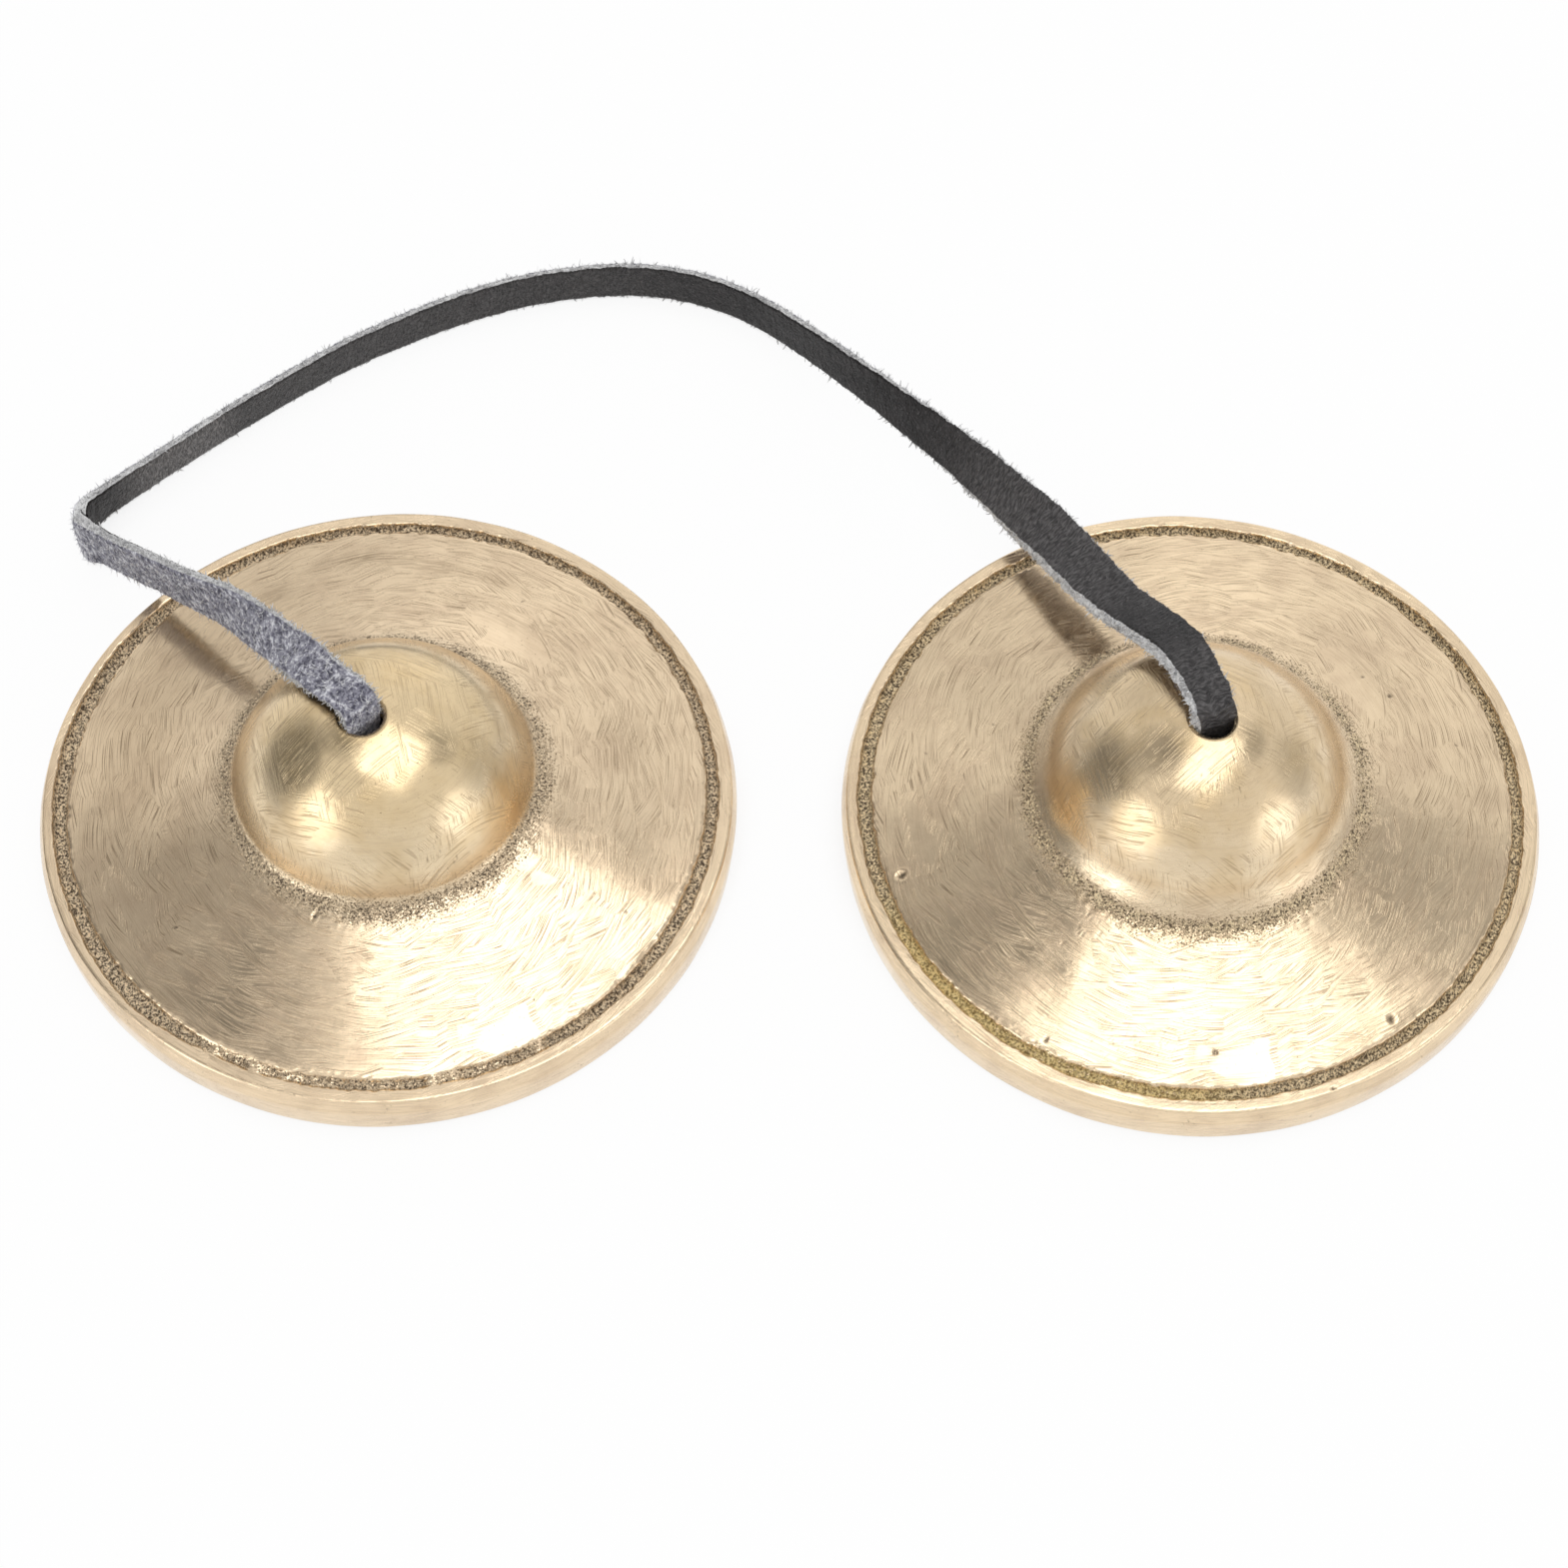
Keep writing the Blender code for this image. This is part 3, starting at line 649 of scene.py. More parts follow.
def section_line():
    """The thong's outline as shares of half its width and half its thickness, and each point's side."""
    across = np.cos(np.linspace(0, pi, FACE_STEPS + 1))
    across = 0.5 * across + 0.5 * np.linspace(1, -1, FACE_STEPS + 1)
    rise = [1 - 2 * i / EDGE_STEPS for i in range(EDGE_STEPS)]
    line = [(share, 1.0) for share in across[:-1]]
    line += [(-1.0, share) for share in rise]
    line += [(-share, -1.0) for share in across[:-1]]
    line += [(1.0, -share) for share in rise]
    sides = [GRAIN_SIDE] * FACE_STEPS + [CUT_SIDE] * EDGE_STEPS
    sides += [SUEDE_SIDE] * FACE_STEPS + [CUT_SIDE] * EDGE_STEPS
    return np.array(line), np.array(sides)


SECTION, SECTION_SIDES = section_line()


def above_floor(points):
    """Points that would sink into the floor lie on it, squeezed flat but still in order."""
    low = np.minimum(points[:, 2] - FLOOR_GAP, 0)
    points[:, 2] = np.maximum(points[:, 2], FLOOR_GAP) + low * SQUEEZE
    return points


def cap_faces(first, corners, flipped):
    """Quads over the open end of a tube, on the ring that starts at point `first`."""
    last = first + corners - 1
    quads = [[first + q, first + q + 1, last - 1 - q, last - q] for q in range(corners // 2 - 1)]
    return [quad[::-1] for quad in quads] if flipped else quads


def edge_slant(lengths, from_fold):
    leaving_fold = step_up(lengths, LEFT_FOLD + 3.0, LEFT_FOLD + 8.0)
    nearing_bend = step_up(lengths, BEND - 9.0, BEND - 2.0)
    on_left_leg = leaving_fold * (1 - nearing_bend)
    return (SLANT + (LEFT_LEG_SLANT - SLANT) * on_left_leg) * step_up(from_fold, -1.0, 2.0)


def thong(name, start, end, step, caps=(False, False)):
    """A stretch of the thong from one length along it to another, with creased and tufted faces, frayed edges
    and painted sheen.
    """
    count = max(2, round((end - start) / step))
    lengths = np.linspace(start, end, count + 1)
    centres, grain, across, width, thickness = thong_frames(lengths)
    from_fold = np.minimum(np.abs(lengths - LEFT_FOLD), np.abs(lengths - RIGHT_FOLD))
    wider = WIDTH_AT_FOLD - np.minimum(width, WIDTH_AT_FOLD)
    width = width + wider * (1 - step_up(from_fold, 2.5, 5.0))
    thickness = thickness * (1 + BEND_SWELL[0] * bell(lengths, BEND, BEND_SWELL[1]))
    n, m = len(lengths), len(SECTION)
    a = np.tile(SECTION[:, 0], (n, 1))
    b = np.tile(SECTION[:, 1], (n, 1))
    half_width, half_thick = (width / 2)[:, None], (thickness / 2)[:, None]
    past_ease = np.clip(np.abs(a) - (1 - 2 * EDGE_EASE / width[:, None]), 0, None)
    corner = past_ease * width[:, None] / (2 * EDGE_EASE)
    eased = EDGE_EASE * (1 - np.sqrt(np.clip(1 - corner**2, 0, 1)))

    flat = centres[:, None] + across[:, None] * (a * half_width)[..., None]
    flat = flat + grain[:, None] * (b * half_thick)[..., None]
    cloud = flat.reshape(-1, 3)
    along = np.repeat(lengths, m)
    strip = np.stack([along, a.ravel() * 3, b.ravel()], axis=1)
    fray = NAP.layered(strip, COARSE_FRAY[0], 3) * COARSE_FRAY[1] + NAP.at(strip, FINE_FRAY[0]) * FINE_FRAY[1]
    fray = fray.reshape(n, m)
    edge_line = strip * (1, 0, 0) + (0, 3, 0) * np.sign(a).ravel()[:, None]
    wander = WEAR.layered(edge_line, WANDER[0], 3).reshape(n, m) * WANDER[1]
    tufts = NAP.layered(cloud, TUFTS[0], 2).reshape(n, m)
    fuzz = NAP.at(cloud, FUZZ[0]).reshape(n, m)
    crease = sum(WEAR.at(strip * stretch, size) * height for stretch, size, height in CREASES)

    into_hole = np.maximum(LEFT_FOLD - lengths, lengths - RIGHT_FOLD)
    calm = 1 - 0.6 * step_up(into_hole, -1.0, 0.5)[:, None]
    at_edge = step_up(np.abs(a), 0.9, 1.0)
    on_face = (SECTION_SIDES != CUT_SIDE)[None, :] * 1.0
    on_suede = (b < -0.5) * on_face
    slant = edge_slant(lengths, from_fold)[:, None] * b * half_thick
    out_width = a * half_width + np.sign(a) * at_edge * (fray + wander) * calm + slant
    raised = tufts * TUFTS[1] + fuzz * FUZZ[1]
    rise = np.where(on_suede > 0, raised, crease.reshape(n, m)) * on_face
    out_thick = b * (half_thick - eased + rise)
    points = centres[:, None] + across[:, None] * out_width[..., None] + grain[:, None] * out_thick[..., None]
    points = above_floor(points.reshape(-1, 3))

    faces = grid_faces(n, m, closed=False)
    sides = np.tile(SECTION_SIDES, n - 1)
    for wanted, ring in zip(caps, (0, n - 1)):
        if wanted:
            cap = cap_faces(ring * m, m, flipped=ring == 0)
            faces = np.concatenate([faces, cap])
            sides = np.concatenate([sides, np.full(len(cap), CUT_SIDE)])
    obj = mesh_object(name, points, faces, LEATHERS)
    obj.data.polygons.foreach_set("material_index", sides.astype(np.int32))
    # Paler suede and cut edge round the sharp bend.
    paler_at_bend = BEND_PALE[0] * bell(lengths, BEND, BEND_PALE[1])[:, None]
    # Painted sheen: where along the thong the grain face gets its painted highlight.
    painted_highlight_amounts = [strength * bell(lengths, middle, reach, 4) for middle, reach, strength in PAINTED_SHEEN_PLACES]
    point_values(obj, "along", along)
    point_values(obj, "aside", a * half_width)
    point_values(obj, "lift", np.where(on_suede > 0, tufts * 0.7 + fuzz * 0.7, fray * 5) + paler_at_bend)
    point_values(obj, "painted_sheen", np.repeat(np.max(painted_highlight_amounts, axis=0), m))
    return obj, (points.reshape(n, m, 3), grain, across, lengths)


FIBRE_LEVELS = (0.0, 0.34, 0.67, 1.0)
FIBRE_CORNERS = 3
CURLS_WITHIN = 0.84


def fibre_faces(total):
    """Triangles of `total` thin closed tubes, one after the other."""
    pattern = []
    for level in range(len(FIBRE_LEVELS) - 1):
        for turn in range(FIBRE_CORNERS):
            a = level * FIBRE_CORNERS + turn
            b = level * FIBRE_CORNERS + (turn + 1) % FIBRE_CORNERS
            pattern += [(a, b, b + FIBRE_CORNERS), (a, b + FIBRE_CORNERS, a + FIBRE_CORNERS)]
    last = FIBRE_CORNERS * len(FIBRE_LEVELS)
    pattern += [(2, 1, 0), (last - 3, last - 2, last - 1)]
    return (np.array(pattern)[None] + (np.arange(total) * last)[:, None, None]).reshape(-1, 3)


def fibres(name, stretch, seed, side, per_mm, reach, girth, lying, material):
    """Short curled fibres. `lying` is how far they lie along the leather, not stand off it."""
    points, grain, across, lengths = stretch
    random = np.random.default_rng(seed)
    total = int((lengths[-1] - lengths[0]) * per_mm)
    on_edge = side == CUT_SIDE
    ground = (SECTION_SIDES == side) & (on_edge | (np.abs(SECTION[:, 0]) < CURLS_WITHIN))
    j = random.choice(np.flatnonzero(ground), total)
    i = random.integers(0, len(points) - 1, total)
    roots = points[i, j]
    outward = across[i] * np.sign(SECTION[j, 0])[:, None] if on_edge else -grain[i]
    along = np.cross(across[i], grain[i])
    beside = grain[i] if on_edge else across[i]
    flat_way = random.normal(0, 1.0, (total, 1)) * along + random.normal(0, 0.8, (total, 1)) * beside
    flat_way = unit(flat_way)
    first = unit(outward * (1 - lying) + flat_way * lying)
    curl = unit(flat_way * 0.4 + random.normal(0, 0.8, (total, 3)) + outward * 0.1)
    long = random.uniform(*reach, total)[:, None]
    thick = random.uniform(*girth, total)[:, None]
    helper = unit(np.cross(first, random.normal(0, 1, (total, 3))))
    second = np.cross(first, helper)
    rings = []
    for share in FIBRE_LEVELS:
        middle = roots + first * long * share * (1 - 0.45 * share) + curl * long * share**2 * 0.5
        slim = thick * (1 - 0.7 * share)
        for turn in range(FIBRE_CORNERS):
            way = 2 * pi * turn / FIBRE_CORNERS
            rings.append(middle + (helper * cos(way) + second * sin(way)) * slim)
    cloud = above_floor(np.stack(rings, axis=1).reshape(-1, 3))
    return mesh_object(name, cloud, fibre_faces(total), [material])


LEATHERS = [
    grain_leather("leather grain"),
    raw_leather("leather suede", SUEDE_COLOURS),
    raw_leather("leather cut edge", EDGE_COLOURS),
]
CURL = fibre_material("suede fibre", CURL_COLOURS)
FLUFF = fibre_material("edge fibre", FLUFF_COLOURS)

# Each kind's side of the thong, number per mm of it, length, girth, lying and material.
FIBRE_KINDS = {
    "curls": (SUEDE_SIDE, 42, (0.35, 1.15), (0.026, 0.056), 0.91, CURL),
    "fluff": (CUT_SIDE, 44, (0.12, 0.44), (0.024, 0.052), 0.45, FLUFF),
    "crumbs": (CUT_SIDE, 11, (0.28, 0.85), (0.05, 0.12), 0.30, FLUFF),
}
STRAP_FUR_SEED = 11
FOLD_FUR_SEED = 21


def fur(name, stretch, seed):
    """The suede's curls, and the fluff and crumbs of the cut edges, as three pieces."""
    kinds = enumerate(FIBRE_KINDS.items())
    return [fibres(kind + "_" + name, stretch, seed + i, *settings) for i, (kind, settings) in kinds]


def dress_strap():
    strap, stretch = thong("strap_leather", STRAP_START, STRAP_END, STRAP_STEP)
    strap_fur = fur("strap", stretch, STRAP_FUR_SEED)
    for piece in [strap, *strap_fur]:
        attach(piece, "strap")
    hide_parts("strap")
    return strap, strap_fur


def dress_knot(side, fold, tail, toward):
    """A fold that lies between the strap and its knot, and the knot. `toward` is the strap's way."""
    body = "knot_" + side
    on_strap, in_hole = fold + toward * FOLD_ON_STRAP, fold - toward * FOLD_IN_HOLE
    bend, stretch = thong("fold_" + side, *sorted((on_strap, in_hole)), FOLD_STEP)
    knot, _ = thong(body + "_leather", *sorted((in_hole, tail)), KNOT_STEP, (toward > 0, toward < 0))
    start, end = thong_frames(np.array([on_strap, in_hole]))[0] * MM
    for piece in [bend, *fur(side, stretch, FOLD_FUR_SEED)]:
        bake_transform(piece)
    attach(knot, body)
    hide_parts(body)


def declare_cord():
    path = thong_frames(np.linspace(STRAP_START, STRAP_END, 160))[0] * MM


SEGMENTS = 960
TOP_STEPS = (46, 16, 58)
UNDER_STEPS = (22, 8, 22)
GROOVE_STEPS = 28
GROOVE_LIP = 0.25


def arc(centre, radius, start, end, steps):
    turns = np.radians(np.linspace(start, end, steps + 1))
    return [(centre[0] + radius * cos(a), centre[1] + radius * sin(a)) for a in turns]


def angle_to(centre, point):
    return degrees(atan2(point[1] - centre[1], point[0] - centre[0]))


def circles_meet(a, a_radius, b, b_radius):
    """The lower of the two points where circles round `a` and `b` meet."""
    apart = hypot(b[0] - a[0], b[1] - a[1])
    along = (apart**2 + a_radius**2 - b_radius**2) / (2 * apart)
    aside = sqrt(a_radius**2 - along**2)
    x, z = (b[0] - a[0]) / apart, (b[1] - a[1]) / apart
    ends = [(a[0] + x * along - s * z * aside, a[1] + z * along + s * x * aside) for s in (1, -1)]
    return min(ends, key=lambda point: point[1])


FLANGE_CENTRE = (
    GROOVE_IN + FLANGE_CURVE_RADIUS * sin(FLANGE_EDGE_SLOPE),
    FLANGE_EDGE_HEIGHT + FLANGE_CURVE_RADIUS * cos(FLANGE_EDGE_SLOPE),
)


def shell_line(offset, foot_round, end_turn, steps):
    """One side of the wall from the hole to the flange's edge, `offset` inside the top face."""
    dome, flange = (0, DOME_CENTRE_HEIGHT), FLANGE_CENTRE
    foot = circles_meet(dome, DOME_RADIUS + foot_round, flange, FLANGE_CURVE_RADIUS - foot_round)
    dome_radius, flange_radius = DOME_RADIUS - offset, FLANGE_CURVE_RADIUS + offset
    top = degrees(np.arccos((HOLE_RADIUS + HOLE_CHAMFER) / dome_radius))
    low, turn = angle_to(dome, foot), angle_to(flange, foot)
    parts = [
        arc(dome, dome_radius, top, low, steps[0]),
        arc(foot, foot_round + offset, low - 180, turn, steps[1])[1:-1],
        arc(flange, flange_radius, turn, end_turn, steps[2]),
    ]
    return sum(parts, []), [len(part) for part in parts]


def rim_wall(ridge, base):
    """The rim's outside, from the ridge's round down to the land."""
    line = arc((ridge, RIM_HEIGHT - RIDGE_ROUND), RIDGE_ROUND, 90, 15, 6)[1:]
    start = line[-1]
    for share in np.linspace(0, 1, 6)[1:]:
        radius = start[0] + (RIM_RADIUS - start[0]) * share + RIM_BULGE * sin(pi * share)
        line.append((radius, start[1] + (RIM_WIDEST_HEIGHT - start[1]) * share))
    for share in np.linspace(0, 1, 9)[1:-1]:
        height = RIM_WIDEST_HEIGHT + (RIM_UNDER_ROUND - RIM_WIDEST_HEIGHT) * share
        line.append((RIM_RADIUS - RIM_BASE_INSET * share**2, height))
    return line + arc((base, RIM_UNDER_ROUND), RIM_UNDER_ROUND, 0, -90, 6)


def under_line(foot_round, inner):
    """The hollow side, from the rim's inner corner up to the hole."""
    corner_radius = inner - RIM_INNER_ROUND
    reach = FLANGE_CURVE_RADIUS + WALL + RIM_INNER_ROUND
    corner_height = FLANGE_CENTRE[1] - sqrt(reach**2 - (FLANGE_CENTRE[0] - corner_radius) ** 2)
    corner = (corner_radius, corner_height)
    shell, _ = shell_line(WALL, foot_round, angle_to(FLANGE_CENTRE, corner), UNDER_STEPS)
    return arc(corner, RIM_INNER_ROUND, 0, angle_to(corner, shell[-1]), 7)[:-1] + shell[::-1]


def cymbal_profile(foot_round):
    """Points (r, z) from the hole's top round the outside and back up inside, and each one's zone."""
    top, counts = shell_line(0, foot_round, -90 - degrees(FLANGE_EDGE_SLOPE), TOP_STEPS)
    ridge = RIM_RADIUS - RIDGE_INSET - RIDGE_ROUND
    base = RIM_RADIUS - RIM_BASE_INSET - RIM_UNDER_ROUND
    inner = RIM_RADIUS - RIM_WALL
    groove = []
    for radius in np.linspace(GROOVE_IN, GROOVE_OUT + GROOVE_LIP, GROOVE_STEPS)[1:]:
        share = min((radius - GROOVE_IN) / GROOVE_WIDTH, 1.0)
        groove.append((radius, FLANGE_EDGE_HEIGHT + (RIM_HEIGHT - FLANGE_EDGE_HEIGHT) * share))
    bead = [(radius, RIM_HEIGHT) for radius in np.linspace(GROOVE_OUT + GROOVE_LIP, ridge, 7)[1:]]
    land = [(radius, 0.0) for radius in np.linspace(base, inner + LAND_CHAMFER, 6)[1:]]
    under = under_line(foot_round, inner)
    top_edge, low_edge = top[0][1] - HOLE_CHAMFER, under[-1][1] + HOLE_CHAMFER
    zones = ["dome"] * counts[0] + ["foot"] * counts[1] + ["flange"] * counts[2]
    line = top
    for zone, points in (
        ("groove", groove),
        ("bead", bead),
        ("outer", rim_wall(ridge, base)),
        ("land", land + [(inner, LAND_CHAMFER)]),
        ("under", under),
        ("bore", [(HOLE_RADIUS, low_edge + (top_edge - low_edge) * share) for share in np.linspace(0, 1, 7)]),
    ):
        line += points
        zones += [zone] * len(points)
    return np.array(line), np.array(zones)


# Where the groove is filled or shallow: angle, half width, share of its depth left.
GROOVE_FILLS = {
    "left": [
        (-104, 32, 0.48), (-66, 12, 0.75), (-110.2, 1.6, 0.2), (-79.6, 1.5, 0.15), (-76.0, 1.3, 0.35),
        (-118, 4.0, 0.55), (-60.4, 1.2, 0.4), (-70, 4.0, 0.65), (-88, 3.0, 0.7), (-30, 6, 0.8),
        (-104, 2.5, 0.6),
    ],
    "right": [(-112, 30, 0.62), (-158, 4.0, 0.75), (60, 12, 0.8), (115, 10, 0.8), (-75, 14, 0.75)],
}
# Where the groove is worn wider: angle, half width, by how much.
GROOVE_SPREAD = {"left": [(162, 44, 0.42), (-137, 11, 0.45)], "right": [(168, 30, 0.25)]}
# Single pits: angle, radius, size, depth.
PITS = {
    "left": [
        (-140.8, 23.7, 0.16, 0.08), (-110.4, 16.0, 0.25, 0.1), (-165, 20.5, 0.12, 0.06),
        (60, 24, 0.12, 0.06), (20, 21.5, 0.12, 0.06), (-30, 26.0, 0.14, 0.06), (110, 21, 0.14, 0.07),
        (172, 26.4, 0.14, 0.08),
    ],
    "right": [
        (-163.2, 28.3, 0.42, 0.2), (-88.4, 26.5, 0.24, 0.16), (-53.7, 28.5, 0.4, 0.08),
        (-69.3, 31.7, 0.22, 0.1), (28, 21.5, 0.24, 0.09), (36, 20.4, 0.18, 0.08), (160, 19.5, 0.13, 0.06),
        (-120, 28.9, 0.2, 0.1), (170, 25.0, 0.12, 0.06), (-148, 17.5, 0.16, 0.07), (12, 25.5, 0.14, 0.06),
    ],
}
# Clusters of small pits: angle, radius, reach, number.
PIT_CLUSTERS = {
    "left": [(-60.0, 13.2, 1.6, 26), (-70, 15.6, 1.8, 30), (35, 9.0, 1.2, 14)],
    "right": [
        (-107, 26.6, 1.7, 60), (-98, 26.0, 1.2, 36), (-80, 6.0, 2.3, 70), (140, 10.5, 2.2, 60),
        (-125, 17.6, 2.4, 34),
    ],
}
# Bundles of dark scratches: angle, radius, half angle, half width, strength.
SCUFFS = {
    "left": [
        (97, 26.4, 10, 0.9, 1.0), (74, 25.2, 14, 1.0, 0.7), (62, 21.5, 16, 1.3, 0.5),
        (120, 24.5, 8, 1.5, 0.5), (12, 23.0, 12, 2.2, 0.6), (-20, 24.5, 10, 2.0, 0.5),
        (-118, 29.0, 2.0, 0.5, 0.9),
    ],
    "right": [
        (-88, 29.0, 7, 0.45, 0.9), (-100, 28.6, 8, 0.4, 0.6), (-62, 28.3, 9, 1.2, 0.6),
        (38, 22.0, 22, 2.0, 0.4), (-150, 29.0, 6, 0.5, 0.6), (62, 17.6, 16, 0.8, 0.6),
    ],
}
# Brown stain, as the scuffs are.
TARNISH = {
    "left": [(170, 24.0, 36, 5.0, 0.5), (-160, 20.0, 20, 5.0, 0.3), (180, 14.8, 26, 0.9, 0.6)],
    "right": [
        (174, 14.0, 18, 2.5, 1.0), (-96, 15.9, 26, 1.5, 0.5), (-170, 24.0, 14, 5.0, 0.2),
        (-36, 19.0, 12, 4.0, 0.3), (-165, 30.4, 12, 0.9, 0.7),
    ],
}
# The gold-coloured floor of the groove: angle, half angle, radius, half width, strength.
GILT = {"left": [], "right": [(-122, 36, 30.2, 1.6, 0.8)]}
FOOT_GRAIN_RADIUS = {"left": 14.5, "right": 15.4}
CAST_SEED = {"left": 101, "right": 202}


class Casting:
    """A cymbal's surface as a grid, one row of points for each way round it."""

    def __init__(self, side):
        self.side = side
        seed = CAST_SEED[side]
        self.rough, self.soft = Lattice(seed), Lattice(seed + 50)
        self.random = np.random.default_rng(seed + 7)
        self.profile, zones = cymbal_profile(FOOT_ROUND[side])
        self.turns = np.linspace(0, 2 * pi, SEGMENTS, endpoint=False)
        self.r = np.tile(self.profile[:, 0], (SEGMENTS, 1))
        self.z = np.tile(self.profile[:, 1], (SEGMENTS, 1))
        self.a = np.repeat(self.turns[:, None], len(self.profile), axis=1)
        self.around = np.degrees(self.a)
        self.zone = np.tile(zones, (SEGMENTS, 1))
        cloud = [self.r * np.cos(self.a), self.r * np.sin(self.a), self.z]
        self.cloud = np.stack(cloud, axis=-1).reshape(-1, 3)
        self.grain = self.read(self.rough, 0.34, 2)
        self.lumps = self.read(self.soft, 1.3, 2)
        self.move = np.zeros_like(self.r)
        self.cast = np.zeros_like(self.r)
        self.pitted = np.zeros_like(self.r)

    def read(self, lattice, size, octaves=1):
        return lattice.layered(self.cloud, size, octaves).reshape(self.r.shape)

    def zones(self, *names):
        return np.isin(self.zone, names)

    def leave_cast(self, amount):
        self.cast = np.maximum(self.cast, amount)

    def top_side(self):
        return self.zones("dome", "foot", "flange", "groove", "bead")


def ripple(c):
    """The filed faces aren't quite true."""
    fade = step_up(c.r, 2.3, 4.5) * (1 - step_up(c.r, GROOVE_IN - 1.2, GROOVE_IN - 0.3))
    waves = c.read(c.soft, 6.5, 2) * 0.055 + c.read(c.soft, 2.4) * 0.012
    c.move += c.zones("dome", "foot", "flange") * fade * waves
    c.move += c.zones("outer", "bead") * c.read(c.soft, 4.0) * 0.03


def cut_groove(c):
    """The rim's groove, with ragged banks, filled and widened places and a sandy floor."""
    inner_wobble = c.read(c.soft, 0.9, 3) * 0.17 + c.read(c.rough, 0.25) * 0.09
    outer_wobble = c.read(c.rough, 1.1, 3) * 0.15 + c.read(c.soft, 0.28) * 0.09
    bank = GROOVE_IN + inner_wobble
    inside = step_up(c.r, bank - 0.04, bank + 0.34)
    bank = GROOVE_OUT + outer_wobble
    for angle, width, more in GROOVE_SPREAD[c.side]:
        bank += more * bell(angle_gap(c.around, angle), 0, width)
    inside *= 1 - step_up(c.r, bank - 0.40, bank + 0.02)
    keep = np.ones_like(c.r)
    for angle, width, share in GROOVE_FILLS[c.side]:
        keep *= 1 - (1 - share) * bell(angle_gap(c.around, angle), 0, width)
    depth = GROOVE_DEPTH * keep * (0.88 + 0.18 * c.lumps)
    sand = c.grain * 0.17 + c.read(c.rough, 0.8) * 0.06
    near = c.zones("groove", "bead") | (c.zones("flange") & (c.r > GROOVE_IN - 0.6))
    c.z -= near * inside * (depth - sand)
    c.leave_cast(near * np.clip(inside * 1.5, 0, 1) * (0.12 + 0.88 * keep))


def leave_foot_sandy(c):
    """A sandy band where the dome meets the flange, wider in front."""
    at_foot = c.zones("foot", "flange", "dome")
    off = c.r - FOOT_GRAIN_RADIUS[c.side] - 0.2 * c.lumps
    front = 0.5 - 0.5 * np.sin(c.a - radians(20))
    band = bell(off, 0, np.where(off > 0, 0.9 + 0.7 * front, 0.65))
    c.leave_cast(at_foot * band * (0.56 + 0.2 * c.lumps))
    c.move -= at_foot * band * (0.03 - c.grain * 0.05)


def leave_hollow_sandy(c):
    c.leave_cast(c.zones("under") * 0.9)
    c.leave_cast(c.zones("bore") * 0.75)
    c.leave_cast(c.zones("outer") * (0.02 + 0.25 * c.lumps))
    c.move += c.zones("under") * (c.grain * 0.03 + c.lumps * 0.03)


def all_pits(c):
    pits = list(PITS[c.side])
    for angle, radius, reach, number in PIT_CLUSTERS[c.side]:
        for _ in range(number):
            off = c.random.normal(0, reach * 0.55, 2)
            x = radius * cos(radians(angle)) + off[0] * 1.3
            y = radius * sin(radians(angle)) + off[1] * 0.8
            size, drop = c.random.uniform(0.05, 0.11), c.random.uniform(0.012, 0.03)
            pits.append((degrees(atan2(y, x)), hypot(x, y), size, drop))
    return pits


def press_pits(c):
    """Round hollows with a raised lip, and a dark floor that goes with their depth."""
    top_side = c.top_side()
    for angle, radius, size, drop in all_pits(c):
        reach = 3 * degrees(size / radius) + 0.5
        rows = np.abs(angle_gap(np.degrees(c.turns), angle)) < reach
        x = c.r[rows] * np.cos(c.a[rows]) - radius * cos(radians(angle))
        y = c.r[rows] * np.sin(c.a[rows]) - radius * sin(radians(angle))
        apart = np.hypot(x, y) / size
        hollow = bell(apart, 0, 1, 4) - 0.3 * bell(apart, 1.35, 0.3)
        c.move[rows] -= top_side[rows] * hollow * drop
        dark = top_side[rows] * bell(apart, 0, 0.8, 4) * min(0.9, 0.25 + 8 * drop)
        c.pitted[rows] = np.maximum(c.pitted[rows], dark)


def surface_points(c):
    """The grid in place: moved off the surface, out of round, with the hole drawn aside."""
    tangent = unit(np.roll(c.profile, -1, axis=0) - np.roll(c.profile, 1, axis=0))
    r = c.r - tangent[:, 1][None] * c.move
    z = c.z + tangent[:, 0][None] * c.move
    drawn = 1 - step_up(c.r, HOLE_RADIUS, HOLE_SHIFT_REACH)
    centre, hole = CENTRES[c.side], HOLES[c.side]
    x = r * np.cos(c.a)
    y = r * np.sin(c.a) * (drawn + ROUNDNESS[c.side] * (1 - drawn))
    x = x + centre[0] + (hole[0] - centre[0]) * drawn
    y = y + centre[1] + (hole[1] - centre[1]) * drawn
    return np.stack([x, y, z], axis=-1).reshape(-1, 3)


def patches(c, table):
    total = np.zeros_like(c.r)
    for angle, radius, half_angle, half_width, strength in table[c.side]:
        apart = (angle_gap(c.around, angle) / half_angle) ** 2
        apart = apart + ((c.r - radius - 0.4 * c.lumps) / half_width) ** 2
        total = np.maximum(total, strength * np.exp(-apart))
    return total * c.top_side()


def gilt(c):
    total = np.zeros_like(c.r)
    for angle, half_angle, radius, half_width, strength in GILT[c.side]:
        floor = (np.abs(c.r - radius) < half_width) * strength
        total = np.maximum(total, floor * bell(angle_gap(c.around, angle), 0, half_angle, 8))
    return total


def paint(obj, c):
    """What the brass material reads at each point."""
    top_side = c.top_side()
    flank = step_up(c.r, 8.5, 11.5) * (1 - step_up(c.r, 14.5, 16.5))
    values = {
        "cast": c.cast,
        "pit": c.pitted,
        "gilt": gilt(c),
        "wall": c.zones("outer", "bead"),
        "dome": top_side * (1 - step_up(c.r, 12.5, 15.0)),
        "flank": top_side * flank,
        "scuff": patches(c, SCUFFS),
        "tarnish": patches(c, TARNISH),
    }
    for name, value in values.items():
        point_values(obj, name, value)


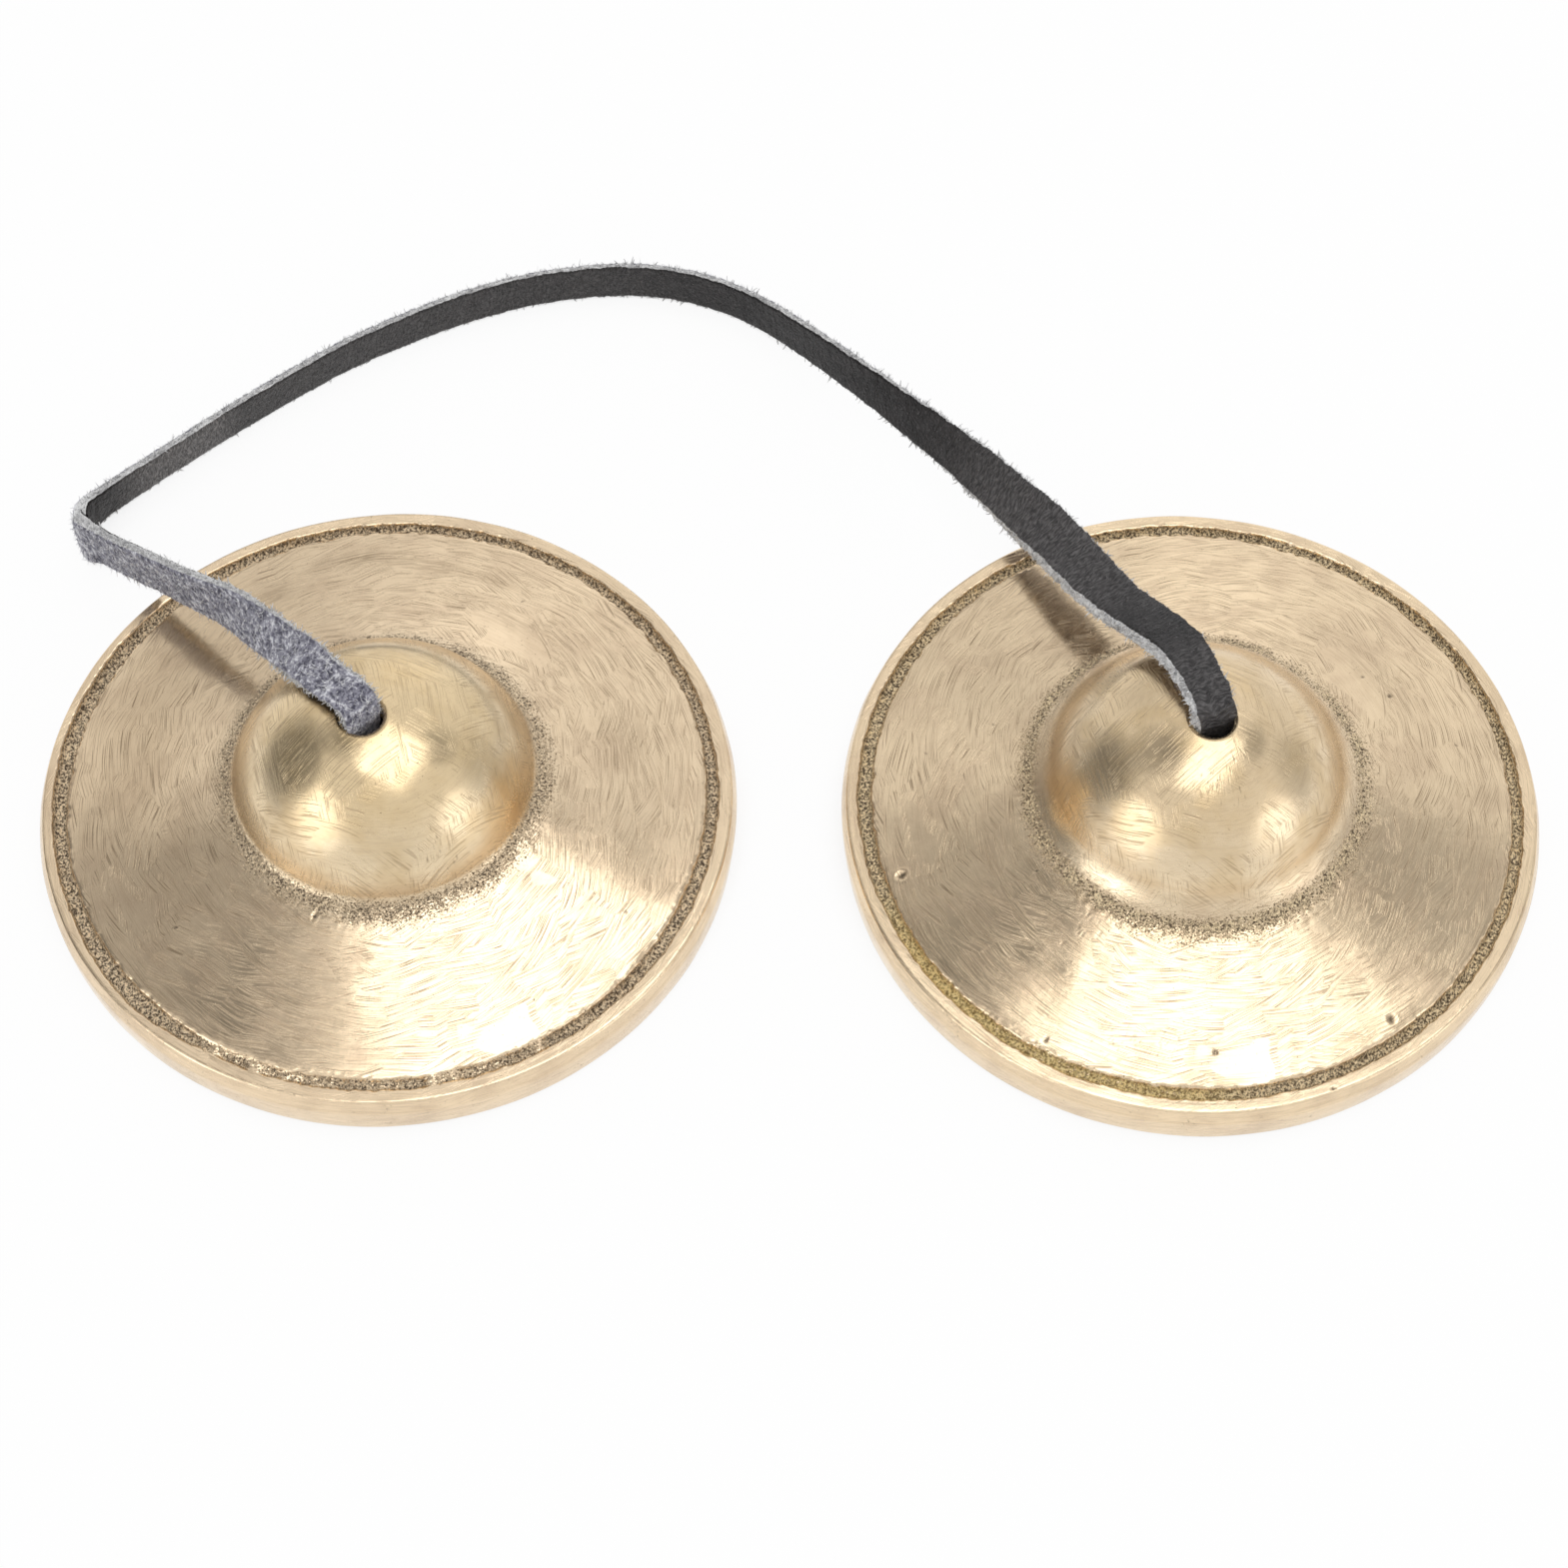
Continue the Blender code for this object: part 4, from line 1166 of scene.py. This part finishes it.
def cymbal(side, material):
    """A cast cymbal, filed by hand, with a grainy groove, a grainy foot and a few pits."""
    c = Casting(side)
    for wear in (ripple, cut_groove, leave_foot_sandy, leave_hollow_sandy, press_pits):
        wear(c)
    faces = grid_faces(SEGMENTS, len(c.profile), closed=True)[:, ::-1]
    node = "cymbal_" + side
    obj = mesh_object(node + "_cast", surface_points(c), faces, [material])
    paint(obj, c)
    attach(obj, node)
    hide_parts(node)


# Studio: a pale floor, one wide soft lamp, and a white room with darker and brighter sides.
FLOOR_REACH = 2000
FLOOR_HEIGHT = -0.02
LAMP_SIZE = (0.355, 0.53)
LAMP_AT = (0.087, -0.033, 0.6)
LAMP_TURN = -24
LAMP_LEVEL = 1.55
ROOM_LEVEL = 0.86
ROOM_DIFFUSE = 0.72
WHITE = (1, 1, 1, 1)
# Direction, degrees from it within which a side is full and beyond which it ends, and strength.
ROOM_SIDES = (
    ((-0.94, 0.1, 0.34), 14, 34, -0.62),
    ((0.97, 0.14, 0.22), 6, 24, -0.26),
    ((-0.44, 0.18, 0.88), 11, 22, -0.42),
    ((-0.31, 0.14, 0.94), 4, 11, -0.22),
    ((-0.28, 0.84, 0.46), 6, 24, -0.16),
    ((0.2, 0.82, 0.53), 12, 34, 0.10),
    ((0.1, 0.96, 0.22), 8, 24, 0.20),
    ((0.36, 0.5, 0.76), 8, 22, -0.05),
    ((0.60, 0.22, 0.77), 7, 17, -0.42),
    ((-0.72, -0.59, 0.36), 9, 21, 1.7),
    ((0.84, -0.47, 0.24), 8, 21, 0.95),
)


def add_camera():
    data = bpy.data.cameras.new("camera")
    data.lens = CAMERA_LENS
    data.sensor_width = CAMERA_SENSOR
    data.clip_start = 0.01
    camera = add_object("camera", data, CAMERA_AT)
    look = Vector(CAMERA_TO) - Vector(CAMERA_AT)
    camera.rotation_euler = look.to_track_quat("-Z", "Y").to_euler()
    bpy.context.scene.camera = camera


def add_floor():
    """A floor that shows as white, keeps a little shadow, and is dark in the cymbals' hollows."""
    material, g = new_material("floor")
    g.look("Base Color", (0.95, 0.95, 0.95, 1))
    g.look("Roughness", 0.9)
    rays = g.make("LightPath", {}).outputs
    seen = g.greater(rays["Is Camera Ray"], rays["Is Glossy Ray"])
    seen = g.greater(seen, rays["Is Transmission Ray"])
    open_to_sky = g.make("AmbientOcclusion", {"Distance": 0.03}, samples=4).outputs["AO"]
    seen = g.times(seen, g.spread(open_to_sky, 0.08, 0.30))
    white = g.make("Emission", {"Color": WHITE, "Strength": 1.0}).outputs[0]
    shown = g.make("MixShader", {0: g.times(seen, 0.94), 1: g.shader.outputs[0], 2: white})
    g.feed(g.nodes["Material Output"].inputs["Surface"], shown.outputs[0])
    ways = ((-1, -1), (1, -1), (1, 1), (-1, 1))
    corners = [(x * FLOOR_REACH, y * FLOOR_REACH, FLOOR_HEIGHT) for x, y in ways]
    mesh_object("floor", corners, [(0, 1, 2, 3)], [material], smooth=False)


def add_lamp():
    data = bpy.data.lights.new("overhead", "AREA")
    data.shape = "RECTANGLE"
    data.size, data.size_y = LAMP_SIZE
    data.energy = LAMP_LEVEL * pi * LAMP_SIZE[0] * LAMP_SIZE[1]
    add_object("overhead", data, LAMP_AT).rotation_euler = (0, 0, radians(LAMP_TURN))


def add_room():
    world = bpy.data.worlds.new("room")
    world.use_nodes = True
    bpy.context.scene.world = world
    g = Graph(world.node_tree)
    rays = g.make("LightPath", {}).outputs
    way = g.make("TexCoord", {}).outputs["Generated"]
    level = ROOM_LEVEL
    for toward, inner, outer, strength in ROOM_SIDES:
        size = hypot(*toward)
        near = g.vector("DOT_PRODUCT", way, tuple(value / size for value in toward))
        side = g.spread(near, cos(radians(outer)), cos(radians(inner)), 0.0, strength)
        level = g.plus(level, side)
    mirrored = g.times(level, g.greater(rays["Is Glossy Ray"], rays["Is Transmission Ray"]))
    strength = g.greater(rays["Is Camera Ray"], mirrored)
    strength = g.greater(strength, g.times(rays["Is Diffuse Ray"], ROOM_DIFFUSE))
    g.feed(g.nodes["Background"].inputs["Color"], WHITE)
    g.feed(g.nodes["Background"].inputs["Strength"], strength)


add_camera()
strap, strap_fur = dress_strap()
dress_knot("left", LEFT_FOLD, 0.0, 1)
dress_knot("right", RIGHT_FOLD, TAIL_END, -1)
declare_cord()
BRASS = {side: brass(side) for side in CENTRES}
for side, material in BRASS.items():
    cymbal(side, material)
add_floor()
add_lamp()
add_room()
bpy.context.scene.view_settings.view_transform = "Standard"
